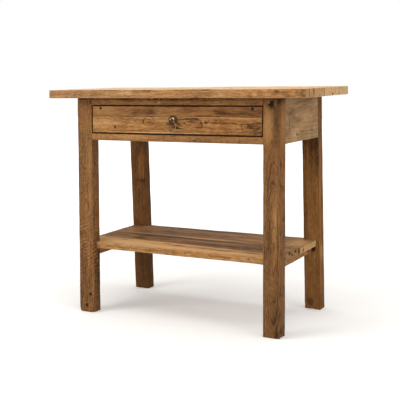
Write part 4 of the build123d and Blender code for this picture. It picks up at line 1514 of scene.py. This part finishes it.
    def add_bearer(self, side: str, outer: int, wood: Wood) -> None:
        """Adds a bearer, with a broken corner at its back.

        Args:
            side: Its side, left or right.
            outer: Which corner of its node lies on the outer face: 0 for the lowest, 1 for the highest.
            wood: Its finish.
        """
        node = f"shelf_rail_{side}"
        x = span(node)[outer][0]
        corner = FlawAndPaintedShade((x, 150, 229), (12, 15, 14), 6.0, 0.95)
        split = FlawAndPaintedShade((x, -140, 236), (9, 30, 6), 1.0, 0.7)
        patch = StainAndPaintedLight((x, 20, 232), (9, 70, 9), 0.2, 0.9)
        self.add(
            Board(
                f"shelf_bearer_{side}", node, Lie.SIDE, wood, "rail_wood", **self.lines.between_legs(),
                arris=1.6, uneven=0.5, flaws_and_painted_shade=[corner, split], stains_and_painted_light=[patch],
            )
        )

    def notched(self, edge: float, inside: float) -> Edge:
        """Edge of a board that steps in where it passes a leg, by a smooth step s^2 (3 - 2 s).

        Args:
            edge: y of the edge between the legs, in mm.
            inside: y of the edge where it passes a leg, in mm.

        Returns:
            The edge, as y at x.
        """
        reach = self.lines.inner - self.notch_gap

        def line(x: np.ndarray, z: np.ndarray) -> np.ndarray:
            """y of the edge at x."""
            share = np.clip((np.abs(x) - reach) / self.NOTCH_SLOPE + 0.5, 0, 1)
            return edge + (inside - edge) * share**2 * (3 - 2 * share)

        return line


@dataclass
class Drawer(Bench):
    """The drawer's two front boards; its box keeps the CAD pieces.

    Attributes:
        wood: Finish that the boards' own ones start from.
        sag: How far the lower board hangs down, in mm.
    """

    wood: Wood = Wood(dark="50321a", body="9c6c3e", light="c89a66", wear=0.7, rings=0.1)
    sag: float = 1.0

    FLAWS_AND_PAINTED_SHADE = {
        "drawer_front_lower": [
            FlawAndPaintedShade((-153, -185, 708), (9, 7, 3.5), 0.5, 0.5), FlawAndPaintedShade((-96, -185, 710), (7, 7, 4), 0.4, 0.4),
            FlawAndPaintedShade((-96, -185, 710), (30, 30, 17), lines=2.2, warp=0.9, ink=0.5),
            FlawAndPaintedShade((-120, -185, 708), (5, 7, 10), 0.0, 0.3), FlawAndPaintedShade((-239, -185, 687), (5.0, 7, 6.0), 1.5, 1.0),
            FlawAndPaintedShade((18, -185, 687), (5.0, 7, 6.0), 1.0, 1.0),
            FlawAndPaintedShade((62, -185, 704), (84, 60, 26), lines=2.6, warp=0.9, ink=0.5),
            FlawAndPaintedShade((129, -185, 706), (9, 7, 6), 0.3, 0.5),
            FlawAndPaintedShade((272, -185, 693), (34, 60, 21), lines=1.5, warp=1.1, ink=0.38),
            FlawAndPaintedShade((314, -185, 690), (30, 60, 20), lines=2.1, warp=1.1, ink=0.36),
            FlawAndPaintedShade((-120, -186, 673), (230, 6, 1.0), 0.4, 0.4), FlawAndPaintedShade((337, -186, 665), (9, 60, 9), 4.0),
        ],
        "drawer_front_upper": [
            FlawAndPaintedShade((196, -185, 742), (8, 7, 8), 0.0, 0.3), FlawAndPaintedShade((160, -185, 746), (8, 7, 6), 0.0, 0.3),
        ],
    }
    STAINS_AND_PAINTED_LIGHT = {
        "drawer_front_lower": [
            StainAndPaintedLight((-290, -185, 706), (90, 20, 26), 0.25, 0.8),
            # The patch at z 725 lightens the top arris, partly wear and partly a painted highlight where the
            # board stands proud; the one at z 669 is a worn bead
            StainAndPaintedLight((190, -185, 725), (200, 20, 3), 0.5, 0.4), StainAndPaintedLight((-60, -186, 669), (270, 20, 3), 0.65, 0.4),
            StainAndPaintedLight((170, -185, 712), (40, 20, 16), -0.2, 0.8),
            StainAndPaintedLight((310, -185, 690), (60, 20, 30), -0.2, 0.8),
            StainAndPaintedLight((260, -185, 698), (120, 20, 40), -0.12, 0.5),
            # The patch at x 12, beside the pull, is its painted shadow
            StainAndPaintedLight((250, -185, 720), (110, 20, 7), 0.3, 0.7), StainAndPaintedLight((12, -185, 706), (20, 20, 22), -0.3, 0.2),
        ],
        "drawer_front_upper": [
            StainAndPaintedLight((-290, -184, 745), (80, 20, 26), 0.3, 0.8),
            StainAndPaintedLight((-151, -185, 742), (24, 20, 20), -0.25, 0.6),
            StainAndPaintedLight((-88, -185, 742), (34, 20, 22), -0.3, 0.6), StainAndPaintedLight((-19, -185, 758), (14, 20, 7), -0.4, 0.5),
            StainAndPaintedLight((58, -185, 748), (30, 20, 14), -0.2, 0.8),
            StainAndPaintedLight((175, -185, 741), (34, 20, 18), -0.25, 0.7),
            # Painted shade along the seam with the lower board
            StainAndPaintedLight((120, -185, 728), (66, 20, 5), -0.5, 0.4),
            StainAndPaintedLight((250, -185, 740), (110, 20, 24), -0.3, 0.8),
        ],
    }

    def __post_init__(self) -> None:
        """Lists the front boards."""
        upper = replace(self.wood, body="8a5e36", light="b58653", shift=1400, pith=(30, 60), blotches=0.5)
        looks = {
            "lower": replace(self.wood, shift=210, pith=(0, 24), streaks=1.0, grain=20.0),
            "upper": replace(upper, grit=0.9, grain=22.0),
        }
        for name, look in looks.items():
            node = f"drawer_front_{name}"
            low, high = span(node)
            flush = self.lines.front_line(0.0)
            near = self.lines.front_line(low[1] - flush(0.0, low[2]))
            far = self.lines.front_line(high[1] - flush(0.0, high[2]))
            # Painted shade, with some dirt, along the gap round the drawer, and dirt round the nails
            dirt_and_shade = gap_dirt_and_shade(False) + gap_dirt_and_shade(True)
            if name == "lower":
                low[2] -= self.sag
            else:
                dirt_and_shade += nail_rims("drawer_front_nails")
            self.add(
                Board(
                    f"{node}_board", node, Lie.RAIL, look, "drawer_wood", low, high, near, far, arris=1.5,
                    uneven=0.2, step=3.5, flaws_and_painted_shade=dirt_and_shade,
                )
            )


@dataclass
class Pull:
    """The aged ring pull: a domed rosette and a hand-bent ring; the eye keeps the CAD piece.

    Attributes:
        lines: The frame's leaning lines.
        brass: Finish of the rosette and the eye.
        rubbed_brass: Finish of the ring.
        around: Number of points round the rosette and the ring.
        dish: How far the crown sinks again towards the shank; at 1 it comes back to its foot.
    """

    lines: Lines
    brass: Metal = Metal(bright="c9a880", skin="543a20", rubbed=0.26, polish=0.3, base=0.15, gloss=0.1)
    rubbed_brass: Metal = Metal(bright="b3956c", skin="4a3420", rubbed=0.4, polish=0.34)
    around: int = 96
    dish: float = 0.78

    # Sizes of the rosette's profile, in mm: its rolled rim, its flat back and its crown
    RIM_WIDTH = 1.3
    RIM_HEIGHT = 1.5
    RIM_LIFT = 0.35
    BACK_INSET = 1.0
    CROWN_INSET = 3.2
    CROWN_LIFT = 0.8
    SHANK_RADIUS = 2.1
    WIRE_COLUMNS = 16

    def profile(self, radius: float, thick: float) -> np.ndarray:
        """Closed profile of the rosette, as (radius, height) in mm.

        From the rim inwards the crown rises and sinks again to the shank as sin(dish pi s^0.75), where s
        goes from 0 at the rim to 1 at the shank.

        Args:
            radius: Radius of the rosette, in mm.
            thick: Its height, in mm.

        Returns:
            The points: the back, the rolled rim and the crown.
        """
        turn = np.linspace(0, math.pi, 9)
        rim_radii = radius - self.RIM_WIDTH + self.RIM_WIDTH * np.cos(turn)
        rim = np.stack([rim_radii, self.RIM_HEIGHT * np.sin(turn) + self.RIM_LIFT], -1)
        share = np.linspace(0, 1, 22)
        foot = radius - self.CROWN_INSET
        crown_radii = foot + (self.SHANK_RADIUS - radius + self.CROWN_INSET) * share
        crown = np.sin(self.dish * math.pi * share**0.75)
        dome = np.stack([crown_radii, self.CROWN_LIFT + (thick - self.CROWN_LIFT) * crown], -1)
        back = [(self.SHANK_RADIUS, 0.0), (radius - self.BACK_INSET, 0.0)]
        return np.concatenate([back, rim, dome])

    def build_rosette(self) -> None:
        """Builds the rosette: its profile, turned once round the pull's axis."""
        low, high = span("pull_rosette")
        lean = math.atan(self.lines.slope)
        out = np.array([0.0, -math.cos(lean), math.sin(lean)])
        up = np.array([0.0, math.sin(lean), math.cos(lean)])
        radius = (high[0] - low[0]) / 2
        thick = (high[1] - low[1] - 2 * radius * math.sin(lean)) / math.cos(lean)
        foot = (low + high) / 2
        foot[1] = high[1] - radius * math.sin(lean)
        radii, heights = self.profile(radius, thick).T[..., None]
        angle = np.linspace(0, 2 * math.pi, self.around, endpoint=False)
        wide = radii * (1 + 0.004 * np.sin(5 * angle))
        points = (
            foot
            + (wide * np.cos(angle))[..., None] * np.array([1.0, 0.0, 0.0])
            + (wide * np.sin(angle))[..., None] * up
            + (heights + 0 * angle)[..., None] * out
        )
        # Painted highlight on the crown's upper half, where the light from above falls, most of all to the
        # left and the right of its top
        wear_and_highlight = (heights / thick) ** 2 * (0.5 + 0.5 * np.sin(angle + 0.2))
        wear_and_highlight = wear_and_highlight * (0.7 + 0.4 * np.cos(3 * (angle - math.pi / 4)))
        piece = grid_mesh("rosette", points, True, {"arris": wear_and_highlight})
        stand_in(piece, "pull_rosette", self.brass.material("rosette_brass"), "old_brass")

    def build_ring(self) -> None:
        """Builds the ring: a circle of radius r + wire cos v, wire sin v, turned round the ring's middle."""
        low, high = span("pull_ring")
        middle = (low + high) / 2
        wire = (high[1] - low[1]) / 2
        radius = (high[0] - low[0]) / 2 - wire
        turn = np.linspace(0, 2 * math.pi, self.around, endpoint=False)[:, None]
        round_wire = np.linspace(0, 2 * math.pi, self.WIRE_COLUMNS, endpoint=False)[None, :]
        thin = wire * (0.97 + 0.03 * np.sin(7 * turn + 1.0))
        reach = radius + thin * np.cos(round_wire)
        aside = thin * np.sin(round_wire) + 0 * turn
        points = middle + np.stack([reach * np.cos(turn), aside, reach * np.sin(turn)], -1)
        rubbed = (0.5 + 0.5 * np.cos(round_wire)) * (0.6 - 0.4 * np.sin(turn))
        piece = grid_mesh("ring", points, True, {"arris": rubbed})
        stand_in(piece, "pull_ring", self.rubbed_brass.material("ring_brass"), "old_brass")

    def build(self) -> None:
        """Builds the rosette and the ring, and finishes the eye."""
        self.build_rosette()
        self.build_ring()
        coat(frame["nodes"]["pull_eye"], self.brass.material("eye_brass"))


def coat(piece: bpy.types.Object, material: bpy.types.Material) -> None:
    """Finishes a piece that keeps its CAD shape.

    Args:
        piece: The CAD piece.
        material: Its material.
    """
    if not piece.material_slots:
        piece.data.materials.append(material)
    for slot in piece.material_slots:
        slot.material = material
    log.info("%s keeps its CAD shape", piece.name)


@dataclass
class Inside:
    """The pieces that keep their CAD shapes: the drawer's box, its bearers, and the nails and screws.

    Attributes:
        bare: Finish of the planed boards.
        iron: Finish of the nails and screws.
    """

    bare: Wood = Wood(dark="7a5a38", body="b08a5f", light="cbab80", wear=0.2, rings=0.2)
    iron: Metal = Metal(bright="2e2118", skin="150d07", rubbed=0.0, polish=0.8, gloss=0.1)

    # How the boards lie, by the start of their name; the others are strips
    LIES = {
        "drawer_back": Lie.RAIL, "drawer_bottom": Lie.FLAT, "drawer_stop": Lie.FLAT, "drawer_side": Lie.SIDE
    }

    def build(self) -> None:
        """Coats every CAD piece that still shows."""
        iron = self.iron.material("old_iron")
        for index, (name, piece) in enumerate(sorted(frame["nodes"].items())):
            if piece.hide_render or name == "pull_eye":
                continue
            if "nails" in name or "screws" in name:
                coat(piece, iron)
                continue
            low, high = span(name)
            lie = next((lie for start, lie in self.LIES.items() if name.startswith(start)), Lie.STRIP)
            look = replace(self.bare, shift=333.0 * index, pith=(12.0, 25.0 + index))
            coat(piece, look.material(f"{name}_wood", tuple((low + high) / 2), lie))


# ---- Floor, lamps and camera ----


@dataclass(frozen=True)
class Lamp:
    """A soft square lamp.

    Attributes:
        place: Its place, in m.
        aim: The place that it faces, in m.
        side: Its side, in m.
        power: Its power, in W.
    """

    place: Triple
    aim: Triple
    side: float
    power: float

    def build(self, name: str) -> None:
        """Adds the lamp to the scene.

        Args:
            name: Name of the lamp.
        """
        light = bpy.data.lights.new(name, "AREA")
        light.shape, light.size, light.energy = "SQUARE", self.side, self.power
        lamp = bpy.data.objects.new(name, light)
        lamp.location = self.place
        lamp.rotation_mode = "QUATERNION"
        lamp.rotation_quaternion = (Vector(self.aim) - Vector(self.place)).to_track_quat("-Z", "Y")
        bpy.context.scene.collection.objects.link(lamp)


@dataclass
class Studio:
    """A pale floor, soft lamps and the camera.

    Attributes:
        floor_half: Half the floor's side, in m.
        place: The camera's place, in m.
        yaw: How far the view is turned to the left of +Y, in radians.
        pitch: How far it looks up, in radians.
        roll: How far it is rolled, in radians.
        lens: Focal length, in mm.
        shift: How far the frame is moved up, as a share of its width.
    """

    floor_half: float = 12.0
    place: Triple = (1.4522, -2.6875, 0.8718)
    yaw: float = 0.4937
    pitch: float = -0.0906
    roll: float = -0.0166
    lens: float = 75.75
    shift: float = -0.125

    LAMPS = {
        "overhead": Lamp((0.0, -0.2, 2.6), (0.0, 0.0, 0.0), 2.4, 45.0),
        "front_left": Lamp((-2.2, -2.6, 1.9), (0.0, 0.0, 0.45), 1.8, 52.0),
        "right": Lamp((2.9, -0.6, 1.2), (0.3, 0.0, 0.5), 1.6, 26.0),
    }
    SENSOR_WIDTH = 36.0
    # Nearest and farthest distance that the camera sees, in m
    SEEN_RANGE = (0.05, 60.0)
    # How far from the bench's middle the floor's own glow begins and is full, in m
    GLOW_RANGE = (0.9, 3.2)

    def build_floor(self) -> None:
        """Builds a flat square that glows faintly for the camera alone, so it looks near white."""
        half = self.floor_half
        mesh = bpy.data.meshes.new("floor")
        corners = [(-half, -half, 0), (half, -half, 0), (half, half, 0), (-half, half, 0)]
        mesh.from_pydata(corners, [], [range(4)])
        floor = bpy.data.objects.new("floor", mesh)
        bpy.context.scene.collection.objects.link(floor)
        material, graph = new_graph("pale_floor")
        seen = graph.node("ShaderNodeLightPath", {}, {}, 0)
        far = graph.node("ShaderNodeTexCoord", {}, {}, 3).length().smooth(*self.GLOW_RANGE)
        glow = graph.mix(seen * (0.2 + far * 0.6), (0.0, 0.0, 0.0), (1.0, 1.0, 1.0))
        inputs = {"Base Color": colour("ebe9e5"), "Roughness": 0.9, "Specular IOR Level": 0.1}
        graph.surface(inputs | {"Emission Color": glow, "Emission Strength": 1.0})
        mesh.materials.append(material)

    def build_world(self) -> None:
        """White where the camera, a gloss or a clear piece sees it, and softer as a light."""
        world = bpy.data.worlds.new("studio")
        world.use_nodes = True
        bpy.context.scene.world = world
        graph = Graph(world.node_tree)
        camera, gloss, clear = [graph.node("ShaderNodeLightPath", {}, {}, index) for index in (0, 3, 6)]
        seen = camera + gloss + clear
        seen.socket.node.use_clamp = True
        inputs = {"Color": (1.0, 1.0, 1.0), "Strength": 0.55 + seen * 0.45}
        light = graph.node("ShaderNodeBackground", {}, inputs)
        graph.node("ShaderNodeOutputWorld", {}, {"Surface": light})

    def build_camera(self) -> None:
        """Sets the camera: its view direction from yaw and pitch, then a roll about that direction."""
        level = math.cos(self.pitch)
        ahead = Vector((-math.sin(self.yaw) * level, math.cos(self.yaw) * level, math.sin(self.pitch)))
        aside = ahead.cross(Vector((0, 0, 1))).normalized()
        upward = aside.cross(ahead)
        right = aside * math.cos(self.roll) + upward * math.sin(self.roll)
        up = upward * math.cos(self.roll) - aside * math.sin(self.roll)
        data = bpy.data.cameras.new("camera")
        data.sensor_width, data.lens, data.shift_y = self.SENSOR_WIDTH, self.lens, self.shift
        data.clip_start, data.clip_end = self.SEEN_RANGE
        camera = bpy.data.objects.new("camera", data)
        turn = Matrix((right, up, -ahead)).transposed().to_4x4()
        camera.matrix_world = Matrix.Translation(self.place) @ turn
        bpy.context.scene.collection.objects.link(camera)
        bpy.context.scene.camera = camera

    def build(self) -> None:
        """Builds all of the studio."""
        self.build_floor()
        self.build_world()
        for name, lamp in self.LAMPS.items():
            lamp.build(name)
        self.build_camera()
        bpy.context.scene.view_settings.view_transform = "Standard"


def main() -> None:
    """Builds the bench piece by piece, then the studio."""
    logging.basicConfig(level=logging.INFO, format="%(message)s")
    lines = Lines()
    for kind in (Top, Legs, Apron, Shelf, Drawer, Pull):
        kind(lines).build()
    Inside().build()
    Studio().build()


if __name__ == "__main__":
    main()
